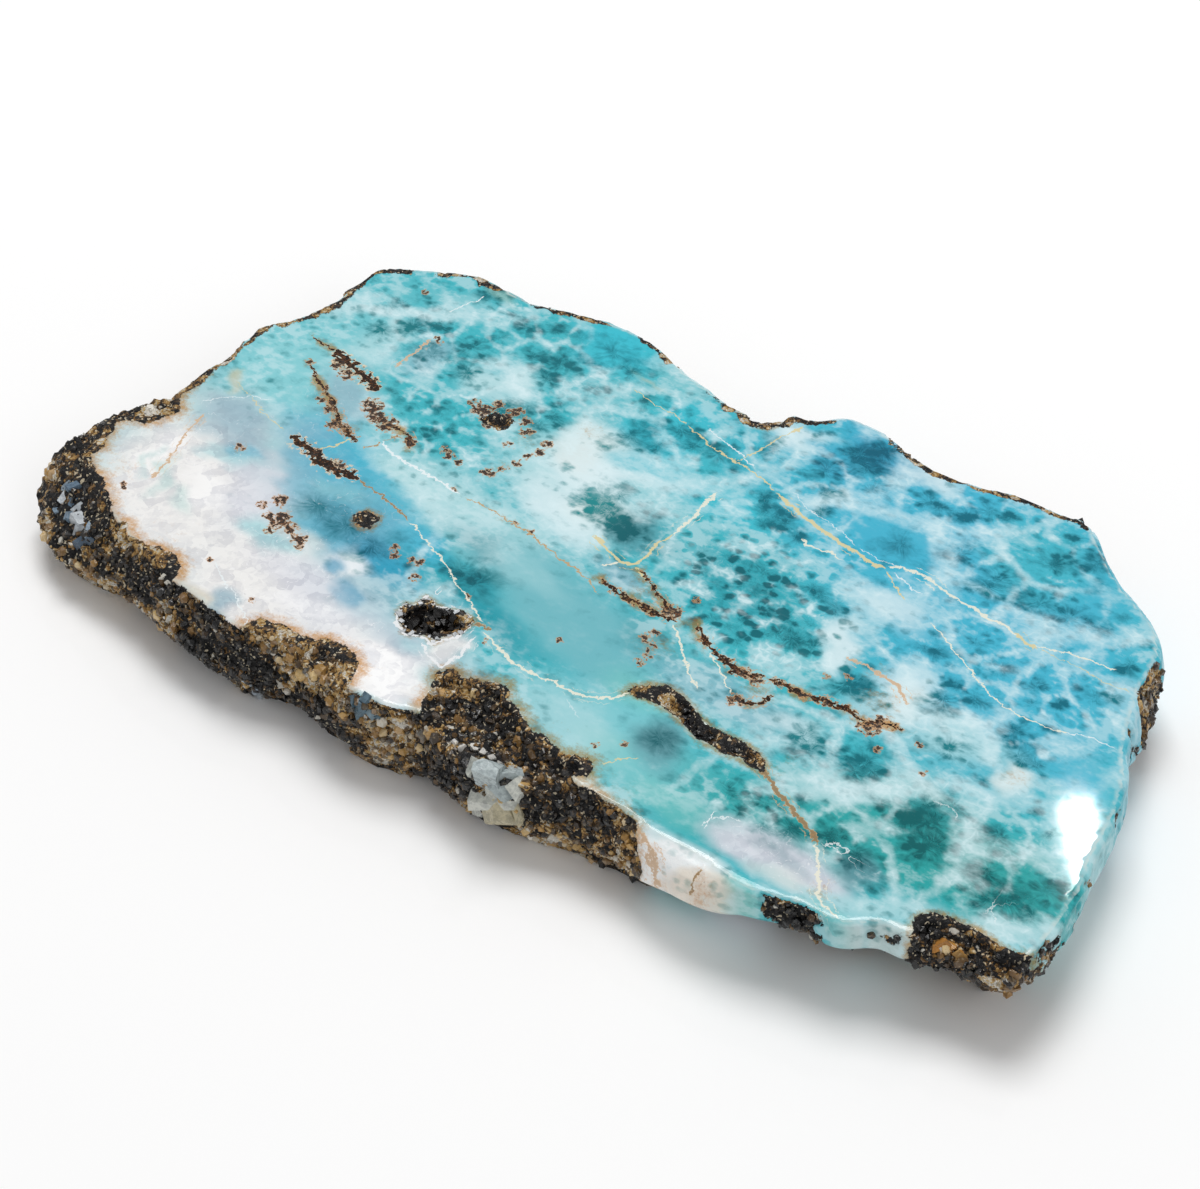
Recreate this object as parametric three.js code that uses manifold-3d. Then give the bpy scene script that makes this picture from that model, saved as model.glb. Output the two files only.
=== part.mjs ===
// A slab of larimar, the blue pectolite of old lava, sawn from a nodule and polished on one face.
// Millimetres, +Z up. The sawn underside lies on z = 0 and the polished face on z = thickness, the long
// side runs along X, and the origin is under the middle of the stone. It is one piece of rock: blue stone
// inside, and round its edge the dark rind of the lava that it grew in.
import * as THREE from "three";
import Module from "manifold-3d";

const thickness = 11;
const stationStep = 1.3; // spacing of the facets round the edge
const turnSpread = 7; // how far to each side of a corner the edge turns, so that the foot doesn't cross itself
const rockPush = 0.95; // how far the tallest lumps stand out of the edge, or the creases go into it
const boulder = 7.5; // size of the large lumps of the edge
const cobble = 3.4; // size of the small lumps of the edge
const pebble = 2.4; // size of the lumps on the floor of a hollow
const floorStep = 0.9; // spacing of the facets on the floor of a hollow
const floorScatter = 0.4; // how far each of them may be out of line
const brimLift = 0.3; // height above the face at which a hollow's border starts
const lidHeight = 3; // height above the face up to which a hollow takes the stone away
const stoneColour = 0x63bccb;

// How the edge is shaped below the polished face, from one stretch of it to the next:
// ease is the width of the rounding at the face, ledge the height of the furthest line of the edge, out how
// far that line stands beyond the face, tuck how far the foot draws back under it, lumps how coarse the rock is.
const edges = {
  tip: { ease: 1, ledge: 6.6, out: 1.2, tuck: 1.6, lumps: 0.8 },
  slope: { ease: 0.6, ledge: 4.4, out: 6.6, tuck: 2.2, lumps: 0.9 },
  shelf: { ease: 0.7, ledge: 5, out: 2.2, tuck: 2.8, lumps: 0.8 },
  crag: { ease: 0.7, ledge: 4.6, out: 1.2, tuck: 2.6, lumps: 1.1 },
  bay: { ease: 0.6, ledge: 4.4, out: 0.8, tuck: 2.2, lumps: 0.8 },
  cream: { ease: 3.4, ledge: 6.6, out: 0.7, tuck: 6.4, lumps: 0.12 },
  green: { ease: 0.7, ledge: 7.6, out: 0.1, tuck: 7.6, lumps: 0.3 },
  pocket: { ease: 0.6, ledge: 7.6, out: 0, tuck: 7.4, lumps: 0.45 },
  right: { ease: 0.5, ledge: 7.4, out: 0.3, tuck: 5, lumps: 0.35 },
  chunk: { ease: 0.7, ledge: 5.4, out: 1.7, tuck: 4, lumps: 0.6 },
  polished: { ease: 1.2, ledge: 7, out: 0.5, tuck: 3.2, lumps: 0.12 },
  back: { ease: 0.5, ledge: 6, out: 1.2, tuck: 3, lumps: 0.7 },
};

// The edge below the furthest line, from the foot up: [share of tuck drawn back, share of ledge].
const undercut = [[1, 0], [0.84, 0.16], [0.62, 0.38], [0.38, 0.62], [0.14, 0.84]];

// The edge from the furthest line up to the rounding: [share of out, share of the height between them].
const brow = [[1, 0], [0.86, 0.25], [0.62, 0.5], [0.34, 0.75], [0, 1]];
const easeDrop = 0.45; // how far the rounding goes down, as a share of its width

// The rim of the polished face, anticlockwise from the left tip: x, y and the stretch of edge it belongs to.
const rim = [
  [-65, -22.2, "tip"], [-62.2, -23.2, "slope"], [-59, -24.2, "slope"], [-56, -25.4, "slope"],
  [-53, -27.2, "slope"], [-50, -28.9, "shelf"], [-46.5, -30.2, "shelf"], [-43, -31.2, "shelf"],
  [-39.5, -32.2, "shelf"], [-36, -33, "shelf"], [-31.5, -33.5, "crag"], [-26.5, -34, "crag"],
  [-22, -32.5, "crag"], [-16.5, -34, "crag"], [-12, -35, "crag"], [-7.5, -34.5, "bay"], [-3.5, -33.5, "bay"],
  [1.5, -34.5, "bay"], [6, -35, "bay"], [11, -34.5, "bay"], [16, -33, "bay"], [20, -33, "bay"],
  [23.5, -33.5, "bay"], [27.5, -35, "cream"], [33, -35.5, "cream"], [38.5, -34.5, "green"], [43, -33.5, "green"],
  [48, -33, "green"], [51, -31, "green"], [54.5, -30.5, "pocket"], [59, -29.4, "pocket"], [62, -29.2, "pocket"],
  [64.3, -28.4, "pocket"], [65.4, -25.5, "right"], [65.6, -21, "right"], [65, -16, "right"], [64, -11, "right"],
  [63.5, -6.5, "right"], [62.6, -2.5, "right"], [61.5, 1, "right"], [59.5, 4.5, "right"], [57.5, 10, "chunk"],
  [56.5, 16, "chunk"], [55.5, 20.5, "polished"], [52.5, 24, "polished"], [48.5, 26.5, "polished"],
  [44, 30, "polished"], [39, 34.5, "back"], [36, 34, "back"], [31, 34, "back"], [27, 33, "back"],
  [22.5, 32.5, "back"], [17.5, 33.5, "polished"], [14, 35, "polished"], [10, 35.5, "polished"], [7, 35, "back"],
  [5, 33, "back"], [1, 31.5, "back"], [-3, 29, "back"], [-7.5, 30, "polished"], [-13, 31.5, "polished"],
  [-18.5, 34, "polished"], [-25, 34.5, "back"], [-30.5, 34, "back"], [-37, 32.5, "polished"], [-44, 33, "back"],
  [-48, 32, "back"], [-53.5, 29.5, "back"], [-56.5, 27.5, "back"], [-57, 22.5, "back"], [-57, 17.5, "back"],
  [-58.5, 13, "back"], [-61, 9.5, "back"], [-60.5, 4.5, "back"], [-61, -1.5, "back"], [-61, -6, "back"],
  [-63, -9.5, "back"], [-65.3, -14, "back"], [-65.8, -18.5, "tip"],
];

// Places where the rock is broken away below the polished face. Each is an outline seen from above, the
// depth at its middle, the width of its sloping border, and how much of the depth its lumps take up.
const hollows = [
  { // rind along the left end
    outline: [
      [-70, -31], [-50, -32.5], [-46.5, -31.5], [-49, -28.8], [-51.6, -28], [-53.8, -26.2], [-55.6, -25],
      [-57.4, -23.4], [-60, -22.6], [-61.2, -21.2], [-60.6, -19.2], [-61.8, -17.6], [-62.4, -14.6], [-60, -13.2],
      [-58.2, -12], [-58, -9.2], [-59.8, -6.6], [-60.2, -2.4], [-63.5, -2], [-70, -12],
    ],
    depth: 1.3, border: 2.6, lumps: 0.6,
  },
  { // brown bay of the front edge
    outline: [
      [-5, -38], [-3.8, -33], [-4.7, -31.4], [-5.6, -27.6], [-4.7, -26.2], [-2.6, -26.6], [-0.7, -25.6],
      [1.3, -24.8], [2.6, -26.6], [4.4, -26.9], [7.7, -29], [11.6, -29.6], [15.4, -29.2], [16.2, -30.4],
      [14.8, -31.7], [18.3, -32.2], [21.5, -32.6], [24, -33.2], [24, -38],
    ],
    depth: 2.1, border: 2.4, lumps: 0.45,
  },
  { // rusty hollow between the white quartz and the front edge
    outline: [
      [-28.5, -36], [-27.6, -33.4], [-25.8, -31.9], [-23.4, -31.2], [-20.6, -31.5], [-18.2, -30.2], [-15, -30.4],
      [-13.2, -31.8], [-12.8, -33.6], [-14, -36.5],
    ],
    depth: 0.9, border: 1.6, lumps: 0.6,
  },
  { // notch of the back edge
    outline: [[-5, 33], [-4.3, 29.2], [-2.8, 28.1], [-1, 27.6], [0.7, 28.1], [1.7, 29.6], [2, 34]],
    depth: 1.6, border: 1.2, lumps: 0.5,
  },
  { // pocket at the lower right corner
    outline: [
      [53, -34], [54, -30], [53.6, -28.2], [54.8, -27], [57.6, -26.4], [60.2, -26.4], [62.2, -26.9], [64.2, -26.8],
      [67, -26.2], [68, -34],
    ],
    depth: 2.4, border: 2.2, lumps: 0.45,
  },
  { // hollow lined with black crystals
    outline: [
      [-15.2, -22.1], [-14.4, -20.6], [-13.8, -18.8], [-12.4, -19.3], [-11, -19.1], [-8.6, -18.9], [-7.4, -19.6],
      [-8.8, -22.2], [-9.5, -23.7], [-11.4, -23.5], [-13.2, -24.4],
    ],
    depth: 1.6, border: 1.3, lumps: 0.5,
  },
  { // open seam across the middle
    outline: [
      [14.2, -17.9], [15.4, -15.8], [17.6, -15.5], [19.6, -16.1], [21.4, -17.4], [23.4, -17.8], [25.4, -17.9],
      [27.6, -17.6], [29.6, -18], [30.6, -19.4], [30, -20.6], [28, -20], [25.6, -20.2], [23, -20.1],
      [20.4, -19.8], [18.4, -18.6], [16.4, -17.8],
    ],
    depth: 1, border: 1, lumps: 0.5,
  },
  { // rusty patch of the left half
    outline: [
      [-30, 11.6], [-28.8, 12.6], [-27, 11.6], [-25.4, 13.3], [-22.6, 12.2], [-20.6, 11.6], [-21.6, 10],
      [-24.4, 9.6], [-27.2, 8.9], [-29, 9.8],
    ],
    depth: 0.6, border: 0.9, lumps: 0.5,
  },
  { // small pit of the blue zone
    outline: [[-29.4, -12.2], [-28.2, -10.9], [-26.4, -11.2], [-25.6, -12.4], [-27.2, -13.6], [-28.8, -13.4]],
    depth: 0.6, border: 0.7, lumps: 0.4,
  },
];

// A repeatable number from 0 to 1 for each cell of space.
function cellValue(i, j, k, seed) {
  let h = Math.imul(i, 374761393) + Math.imul(j, 668265263) + Math.imul(k, 1274126177) + Math.imul(seed, 97531);
  h = Math.imul(h ^ (h >>> 13), 1274126177);
  return ((h ^ (h >>> 16)) >>> 0) / 4294967296;
}

// Rounded lumps about `size` across with creases between them: 1 on top of a lump, towards 0 in a crease.
function lump(x, y, z, size, seed) {
  const cell = [x / size, y / size, z / size].map(Math.floor);
  let nearest = Infinity;
  for (let a = -1; a < 2; a++)
    for (let b = -1; b < 2; b++)
      for (let c = -1; c < 2; c++) {
        const [i, j, k] = [cell[0] + a, cell[1] + b, cell[2] + c];
        const dx = i + cellValue(i, j, k, seed) - x / size;
        const dy = j + cellValue(i, j, k, seed + 1) - y / size;
        const dz = k + cellValue(i, j, k, seed + 2) - z / size;
        nearest = Math.min(nearest, dx * dx + dy * dy + dz * dz);
      }
  return Math.max(0, 1 - nearest);
}

// Two sizes of lump together, from -1 to 1.
function rockRelief(x, y, z) {
  return 1.15 * lump(x, y, z, boulder, 11) + 0.85 * lump(x, y, z, cobble, 29) - 1;
}

// The rim as evenly spaced stations, each with its own edge values, blended between the stretches.
function rimStations() {
  const points = rim.map(([x, y]) => new THREE.Vector3(x, y, 0));
  const curve = new THREE.CatmullRomCurve3(points, true, "centripetal");
  curve.arcLengthDivisions = 2000;
  const count = Math.round(curve.getLength() / stationStep);
  const lengths = curve.getLengths(rim.length * 20);
  const total = lengths.at(-1);
  const shareOfPoint = rim.map((_, i) => lengths[i * 20] / total);
  return Array.from({ length: count }, (_, n) => {
    const share = n / count;
    const at = curve.getPointAt(share);
    const behind = curve.getPointAt((share - turnSpread / total + 1) % 1);
    const ahead = curve.getPointAt((share + turnSpread / total) % 1);
    const along = ahead.sub(behind).normalize();
    return {
      x: at.x,
      y: at.y,
      outward: new THREE.Vector2(along.y, -along.x),
      edge: edgeAt(share, shareOfPoint),
    };
  });
}

// Edge values at a share of the way round: a bell-shaped average of the nearby rim points.
function edgeAt(share, shareOfPoint) {
  const reach = 0.012;
  const sum = { ease: 0, ledge: 0, out: 0, tuck: 0, lumps: 0 };
  let weights = 0;
  rim.forEach(([, , name], i) => {
    const gap = Math.abs(shareOfPoint[i] - share);
    const weight = Math.exp(-((Math.min(gap, 1 - gap) / reach) ** 2)) + 1e-9;
    weights += weight;
    for (const key in sum) sum[key] += weight * edges[name][key];
  });
  for (const key in sum) sum[key] /= weights;
  return sum;
}

// One station's profile from the foot up to the flat of the polished face: [distance beyond the rim, height].
function edgeProfile({ ease, ledge, out, tuck }) {
  const shoulder = thickness - easeDrop * ease;
  return [
    ...undercut.map(([back, up]) => [out - back * tuck, up * ledge]),
    ...brow.map(([beyond, up]) => [beyond * out, ledge + up * (shoulder - ledge)]),
    [-0.35 * ease, thickness - 0.25 * easeDrop * ease],
    [-ease, thickness],
  ];
}

// The stone before its hollows are cut: rings round the edge, closed by a flat underside and a flat face.
function stoneBody() {
  const stations = rimStations();
  const rings = edgeProfile(edges.tip).length;
  const positions = [];
  stations.forEach(({ x, y, outward, edge }) => {
    edgeProfile(edge).forEach(([beyond, z], ring) => {
      const onFace = ring >= rings - 2;
      const px = x + beyond * outward.x;
      const py = y + beyond * outward.y;
      const push = onFace ? 0 : rockPush * edge.lumps * rockRelief(px, py, z);
      positions.push(px + push * outward.x, py + push * outward.y, z);
    });
  });
  const index = [];
  const at = (station, ring) => (station % stations.length) * rings + ring;
  for (let s = 0; s < stations.length; s++)
    for (let r = 0; r < rings - 1; r++)
      index.push(at(s, r), at(s + 1, r), at(s + 1, r + 1), at(s, r), at(s + 1, r + 1), at(s, r + 1));
  closeWithFlat(index, positions, stations.length, rings, 0);
  closeWithFlat(index, positions, stations.length, rings, rings - 1);
  return geometryOf(positions, index);
}

// Fills the flat inside one ring: the first ring looks down, the last looks up.
function closeWithFlat(index, positions, count, rings, ring) {
  const corners = Array.from({ length: count }, (_, s) => {
    const start = (s * rings + ring) * 3;
    return new THREE.Vector2(positions[start], positions[start + 1]);
  });
  for (const [a, b, c] of THREE.ShapeUtils.triangulateShape(corners, [])) {
    const [p, q, r] = [a, b, c].map((s) => s * rings + ring);
    if (ring === 0) index.push(p, r, q);
    else index.push(p, q, r);
  }
}

function geometryOf(positions, index) {
  return new THREE.BufferGeometry()
    .setAttribute("position", new THREE.Float32BufferAttribute(positions, 3))
    .setIndex(index);
}

// How far a place is inside an outline, in millimetres; outside it the number is below zero.
function depthInside(x, y, outline) {
  let inside = false;
  let nearest = Infinity;
  outline.forEach(([ax, ay], i) => {
    const [bx, by] = outline[(i + 1) % outline.length];
    if (ay > y !== by > y && x < ax + ((bx - ax) * (y - ay)) / (by - ay)) inside = !inside;
    const share = ((x - ax) * (bx - ax) + (y - ay) * (by - ay)) / ((bx - ax) ** 2 + (by - ay) ** 2);
    const along = Math.min(1, Math.max(0, share));
    nearest = Math.min(nearest, Math.hypot(x - ax - along * (bx - ax), y - ay - along * (by - ay)));
  });
  return inside ? nearest : -nearest;
}

// The space a hollow takes out: a lumpy floor below the face, and a flat top well above it.
function hollowSpace({ outline, depth, border, lumps }, seed) {
  const xs = outline.map(([x]) => x);
  const ys = outline.map(([, y]) => y);
  const [left, front] = [Math.min(...xs) - floorStep, Math.min(...ys) - floorStep];
  const columns = Math.ceil((Math.max(...xs) + floorStep - left) / floorStep);
  const rows = Math.ceil((Math.max(...ys) + floorStep - front) / floorStep);
  const positions = [];
  for (const top of [false, true])
    for (let j = 0; j <= rows; j++)
      for (let i = 0; i <= columns; i++) {
        const x = left + i * floorStep + (cellValue(i, j, 0, seed) - 0.5) * floorScatter;
        const y = front + j * floorStep + (cellValue(i, j, 1, seed) - 0.5) * floorScatter;
        const slope = Math.min(1, Math.max(-0.3, depthInside(x, y, outline) / border));
        const rough = 1 - lumps * lump(x, y, seed, pebble, seed);
        const floor = thickness + brimLift - (depth + brimLift) * slope * (slope < 0 ? 1 : rough);
        positions.push(x, y, top ? thickness + lidHeight : floor);
      }
  const index = [];
  const at = (i, j, layer) => (layer * (rows + 1) + j) * (columns + 1) + i;
  for (let j = 0; j < rows; j++)
    for (let i = 0; i < columns; i++) {
      index.push(at(i, j, 0), at(i, j + 1, 0), at(i + 1, j + 1, 0), at(i, j, 0), at(i + 1, j + 1, 0), at(i + 1, j, 0));
      index.push(at(i, j, 1), at(i + 1, j, 1), at(i + 1, j + 1, 1), at(i, j, 1), at(i + 1, j + 1, 1), at(i, j + 1, 1));
    }
  const wall = (i, j, k, l) => index.push(at(i, j, 0), at(k, l, 0), at(k, l, 1), at(i, j, 0), at(k, l, 1), at(i, j, 1));
  for (let i = 0; i < columns; i++) {
    wall(i, 0, i + 1, 0);
    wall(i + 1, rows, i, rows);
  }
  for (let j = 0; j < rows; j++) {
    wall(columns, j, columns, j + 1);
    wall(0, j + 1, 0, j);
  }
  return geometryOf(positions, index);
}

const wasm = await Module();
wasm.setup();

function solidOf(geometry) {
  return new wasm.Manifold(
    new wasm.Mesh({
      numProp: 3,
      vertProperties: new Float32Array(geometry.attributes.position.array),
      triVerts: new Uint32Array(geometry.index.array),
    }),
  );
}

// The stone with every hollow cut out of it, moved until the origin is under the middle of it.
function carvedStone() {
  let solid = solidOf(stoneBody());
  hollows.forEach((hollow, i) => {
    solid = solid.subtract(solidOf(hollowSpace(hollow, 40 + i)));
  });
  const mesh = solid.getMesh();
  const geometry = geometryOf(Array.from(mesh.vertProperties), Array.from(mesh.triVerts));
  geometry.computeBoundingBox();
  const middle = geometry.boundingBox.getCenter(new THREE.Vector3());
  return geometry.translate(-middle.x, -middle.y, 0);
}

const stone = new THREE.Mesh(
  carvedStone(),
  new THREE.MeshStandardMaterial({ color: stoneColour, roughness: 0.15, metalness: 0 }),
);
stone.name = "larimar_slab";

const slab = new THREE.Group();
slab.add(stone);
export default slab;
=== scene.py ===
import itertools
import math

import bmesh
import bpy
import numpy as np
from mathutils import Euler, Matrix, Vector
from mathutils.bvhtree import BVHTree
from mathutils.kdtree import KDTree


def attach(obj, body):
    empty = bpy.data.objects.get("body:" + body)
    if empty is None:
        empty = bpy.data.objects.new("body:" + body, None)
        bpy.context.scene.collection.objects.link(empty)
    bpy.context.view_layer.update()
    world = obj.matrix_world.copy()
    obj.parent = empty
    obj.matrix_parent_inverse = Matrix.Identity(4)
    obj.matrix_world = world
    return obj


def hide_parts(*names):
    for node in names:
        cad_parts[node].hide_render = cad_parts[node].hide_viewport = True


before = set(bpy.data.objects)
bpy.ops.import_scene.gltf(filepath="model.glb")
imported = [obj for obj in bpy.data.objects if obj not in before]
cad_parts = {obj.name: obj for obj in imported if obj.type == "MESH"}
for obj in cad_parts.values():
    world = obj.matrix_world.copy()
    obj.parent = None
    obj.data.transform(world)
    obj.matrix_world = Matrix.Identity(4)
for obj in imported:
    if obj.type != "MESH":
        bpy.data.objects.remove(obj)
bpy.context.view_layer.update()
mm = 0.001
print("frame loaded")


# the camera stands where the photograph was taken from
photo = {
    "width": 1200,
    "height": 1189,
    "lens": 85,
    "film": 36,
    "azimuth": 35,
    "elevation": 42,
    "distance": 0.311,
    "target": (0.002121, -0.007302, 0.011),
}


def placeCamera():
    around = math.radians(photo["azimuth"])
    up = math.radians(photo["elevation"])
    back = Vector((math.sin(around) * math.cos(up), -math.cos(around) * math.cos(up), math.sin(up)))
    cameraData = bpy.data.cameras.new("photoCamera")
    cameraData.lens = photo["lens"]
    cameraData.sensor_fit = "HORIZONTAL"
    cameraData.sensor_width = photo["film"]
    cameraData.clip_start = 0.01
    camera = bpy.data.objects.new("photoCamera", cameraData)
    camera.location = Vector(photo["target"]) + back * photo["distance"]
    camera.rotation_euler = (-back).to_track_quat("-Z", "Y").to_euler()
    bpy.context.scene.collection.objects.link(camera)
    bpy.context.scene.camera = camera
    return camera


camera = placeCamera()
bpy.context.view_layer.update()
cameraAt = np.array(camera.location) / mm
cameraTurn = np.array(camera.rotation_euler.to_matrix())
pixelsPerSlope = photo["lens"] / photo["film"] * photo["width"]
thickness = 11.0  # millimetres, as every length below unless a line says metres


# directions from the camera through places of the photograph
def raysThrough(pixels):
    pixels = np.atleast_2d(np.asarray(pixels, float))
    across = (pixels[:, 0] - photo["width"] / 2) / pixelsPerSlope
    upward = (photo["height"] / 2 - pixels[:, 1]) / pixelsPerSlope
    return np.stack([across, upward, -np.ones(len(pixels))], 1) @ cameraTurn.T


# places of the photograph, in its pixels, brought down onto the polished face
def onStone(pixels):
    rays = raysThrough(pixels)
    steps = (thickness - cameraAt[2]) / rays[:, 2]
    return (cameraAt + rays * steps[:, None])[:, :2]


# where points of the stone are seen in the photograph
def inPhoto(points):
    seen = (points - cameraAt) @ cameraTurn
    across = photo["width"] / 2 + seen[:, 0] / -seen[:, 2] * pixelsPerSlope
    down = photo["height"] / 2 - seen[:, 1] / -seen[:, 2] * pixelsPerSlope
    return np.stack([across, down], 1)


print("camera placed")


# soft noise and rounded cells, the same on every run
def hashAt(cells, seed):
    x, y, z = cells[..., 0], cells[..., 1], cells[..., 2]
    mixed = x * 73856093 ^ y * 19349663 ^ z * 83492791 ^ (seed * 2654435)
    mixed = (mixed ^ (mixed >> 13)) * 1274126177
    mixed = (mixed ^ (mixed >> 16)) * 1911520717
    mixed = mixed ^ (mixed >> 15)
    return (mixed & 0xFFFFFF) / 0x1000000


def noiseAt(points, size, seed):
    scaled = points / np.asarray(size, float)
    cell = np.floor(scaled).astype(np.int64)
    part = scaled - cell
    part = part * part * (3 - 2 * part)
    total = np.zeros(len(points))
    for corner in itertools.product((0, 1), repeat=3):
        corner = np.array(corner)
        total += np.prod(np.where(corner, part, 1 - part), axis=1) * hashAt(cell + corner, seed)
    return total * 2 - 1


def cloudAt(points, size, seed, layers=3):
    size = np.asarray(size, float)
    total = np.zeros(len(points))
    for layer in range(layers):
        total += noiseAt(points, size / 2 ** layer, seed + layer * 7) * 0.5 ** layer
    return total


# how far the plan of points is pushed about by two noises, across and along
def driftAt(points, size, seed, layers=3):
    return np.stack([cloudAt(points, size, seed, layers), cloudAt(points, size, seed + 1, layers)], 1)


# distances to the nearest and second nearest cell centre, and a random value for each cell
def cellsAt(points, size, seed):
    scaled = points / np.asarray(size, float)
    base = np.floor(scaled).astype(np.int64)
    nearest = np.full(len(points), 9.0)
    second = np.full(len(points), 9.0)
    own = np.zeros(len(points))
    for step in itertools.product((-1, 0, 1), repeat=3):
        cell = base + np.array(step)
        centre = cell + np.stack([hashAt(cell, seed + turn) for turn in range(3)], 1)
        gap = np.linalg.norm(centre - scaled, axis=1)
        closer = gap < nearest
        second = np.where(closer, nearest, np.minimum(second, gap))
        own = np.where(closer, hashAt(cell, seed + 3), own)
        nearest = np.where(closer, gap, nearest)
    return nearest, second, own


def gapTo(points, place):
    return np.hypot(*(points[:, :2] - place).T)


def smoothStep(low, high, value):
    share = np.clip((value - low) / (high - low), 0, 1)
    return share * share * (3 - 2 * share)


# distance into an outline, below zero outside it
def depthInside(points, outline):
    nearest = np.full(len(points), np.inf)
    inside = np.zeros(len(points), bool)
    for (ax, ay), (bx, by) in zip(outline, np.roll(outline, -1, axis=0)):
        x, y = points[:, 0] - ax, points[:, 1] - ay
        crosses = (ay > points[:, 1]) != (by > points[:, 1])
        rise = by - ay if by != ay else 1e-9
        inside ^= crosses & (points[:, 0] < ax + (bx - ax) * y / rise)
        along = np.clip((x * (bx - ax) + y * (by - ay)) / ((bx - ax) ** 2 + (by - ay) ** 2), 0, 1)
        nearest = np.minimum(nearest, np.hypot(x - along * (bx - ax), y - along * (by - ay)))
    return np.where(inside, nearest, -nearest)


# distance to a line with bends, which side of it, and how far along it the nearest place is, from 0 to 1
def alongLine(points, line):
    nearest = np.full(len(points), np.inf)
    signed = np.zeros(len(points))
    share = np.zeros(len(points))
    lengths = np.linalg.norm(np.diff(line, axis=0), axis=1)
    done = 0
    for (ax, ay), (bx, by), length in zip(line[:-1], line[1:], lengths):
        x, y = points[:, 0] - ax, points[:, 1] - ay
        raw = (x * (bx - ax) + y * (by - ay)) / length ** 2
        along = np.clip(raw, 0, 1)
        gap = np.hypot(x - along * (bx - ax), y - along * (by - ay))
        side = (bx - ax) * y - (by - ay) * x
        closer = gap < nearest
        nearest = np.where(closer, gap, nearest)
        signed = np.where(closer, np.where(side < 0, -gap, gap), signed)
        share = np.where(closer, (done + raw * length) / lengths.sum(), share)
        done += length
    return nearest, signed, share


# light, floor and background
studio = {
    "sky": 0.42,
    "keyAt": (-0.34, 0.5, 1.5),  # metres, as the other places and sizes here
    "keySize": 0.8,
    "keyPower": 15.5,
    "fillAt": (0.9, -0.35, 0.75),
    "fillSize": 0.6,
    "fillPower": 1.6,
    "glintPixel": (1084, 848),
    "glintAway": 0.62,
    "glintSize": (0.010, 0.030),
    "glintPower": 0.07,
    "glintTurn": 20,
    "floorSize": 6,
    "floorTone": 0.985,
}


def aim(item, target):
    item.rotation_euler = (Vector(target) - item.location).to_track_quat("-Z", "Y").to_euler()


def softLight(name, place, size, power, target=(0, 0, 0.005)):
    lightData = bpy.data.lights.new(name, "AREA")
    lightData.shape = "RECTANGLE"
    lightData.size, lightData.size_y = (size, size) if isinstance(size, float) else size
    lightData.energy = power
    light = bpy.data.objects.new(name, lightData)
    light.location = place
    bpy.context.scene.collection.objects.link(light)
    aim(light, target)
    return light


def setStudio():
    world = bpy.data.worlds.new("studio")
    world.use_nodes = True
    background = world.node_tree.nodes["Background"]
    background.inputs["Color"].default_value = (1, 1, 1, 1)
    background.inputs["Strength"].default_value = studio["sky"]
    bpy.context.scene.world = world
    bpy.context.scene.view_settings.view_transform = "Standard"
    softLight("keyBox", studio["keyAt"], studio["keySize"], studio["keyPower"])
    softLight("fillBox", studio["fillAt"], studio["fillSize"], studio["fillPower"])
    # a narrow panel in the mirror direction gives the white glint by the right edge
    x, y = onStone([studio["glintPixel"]])[0] * mm
    spot = Vector((x, y, thickness * mm))
    ray = (spot - camera.location).normalized()
    place = spot + Vector((ray.x, ray.y, -ray.z)) * studio["glintAway"]
    glint = softLight("glintPanel", place, studio["glintSize"], studio["glintPower"], spot)
    glint.rotation_euler.rotate_axis("Z", math.radians(studio["glintTurn"]))
    bpy.ops.object.select_all(action="DESELECT")
    bpy.ops.mesh.primitive_plane_add(size=studio["floorSize"], location=(0, 0, 0))
    floor = bpy.context.object
    floor.name = "floor"
    floorFinish = bpy.data.materials.new("paleFloor")
    floorFinish.use_nodes = True
    shader = floorFinish.node_tree.nodes["Principled BSDF"]
    tone = studio["floorTone"]
    shader.inputs["Base Color"].default_value = (tone, tone, tone, 1)
    shader.inputs["Roughness"].default_value = 0.9
    shader.inputs["Specular IOR Level"].default_value = 0.1
    floor.data.materials.append(floorFinish)


setStudio()
print("studio set")


# the stone's own fine mesh: a copy of the CAD solid, remeshed finely enough to carry its markings
stoneShape = {
    "voxel": 0.5,
    "flatSnap": 0.22,  # how near to the face a point must be to be part of its flat
    "towardsFront": (0.35, -0.9, 0),
    "frontFrom": 8,  # how far forward the rock is divided once more
    "undersideKept": 0.07,  # share of the underside's faces
    "lumps": [(3.4, 0.5, 31), (1.5, 0.42, 37), (0.7, 0.24, 43)],  # size, how far they stand out, seed
    "lumpMiddle": 0.62,  # part of a lump's height that lies at the old surface
    "mild": 0.1,  # how uneven the sides without rock are
    "mildSize": 2.0,
    "belowFace": (0.06, 0.35),  # depths below the face where rock begins and where it is full
    "aboveFoot": (0.02, 0.6),  # heights over which it starts from the underside
}


def vectorsOf(mesh, field):
    flat = np.empty(len(mesh.vertices) * 3)
    mesh.vertices.foreach_get(field, flat)
    return flat.reshape(-1, 3)


def pointsOf(mesh):
    return vectorsOf(mesh, "co") / mm


def normalsOf(mesh):
    return vectorsOf(mesh, "normal")


def putPoints(mesh, points):
    mesh.vertices.foreach_set("co", (points * mm).ravel())
    mesh.update()


# each face's corners: their points, where they start and how many there are
def cornersOf(mesh):
    corners = np.empty(len(mesh.loops), int)
    mesh.loops.foreach_get("vertex_index", corners)
    starts = np.empty(len(mesh.polygons), int)
    mesh.polygons.foreach_get("loop_start", starts)
    counts = np.empty(len(mesh.polygons), int)
    mesh.polygons.foreach_get("loop_total", counts)
    return corners, starts, counts


def faceMeans(mesh, values):
    corners, starts, counts = cornersOf(mesh)
    return np.add.reduceat(values[corners], starts) / counts


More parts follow.
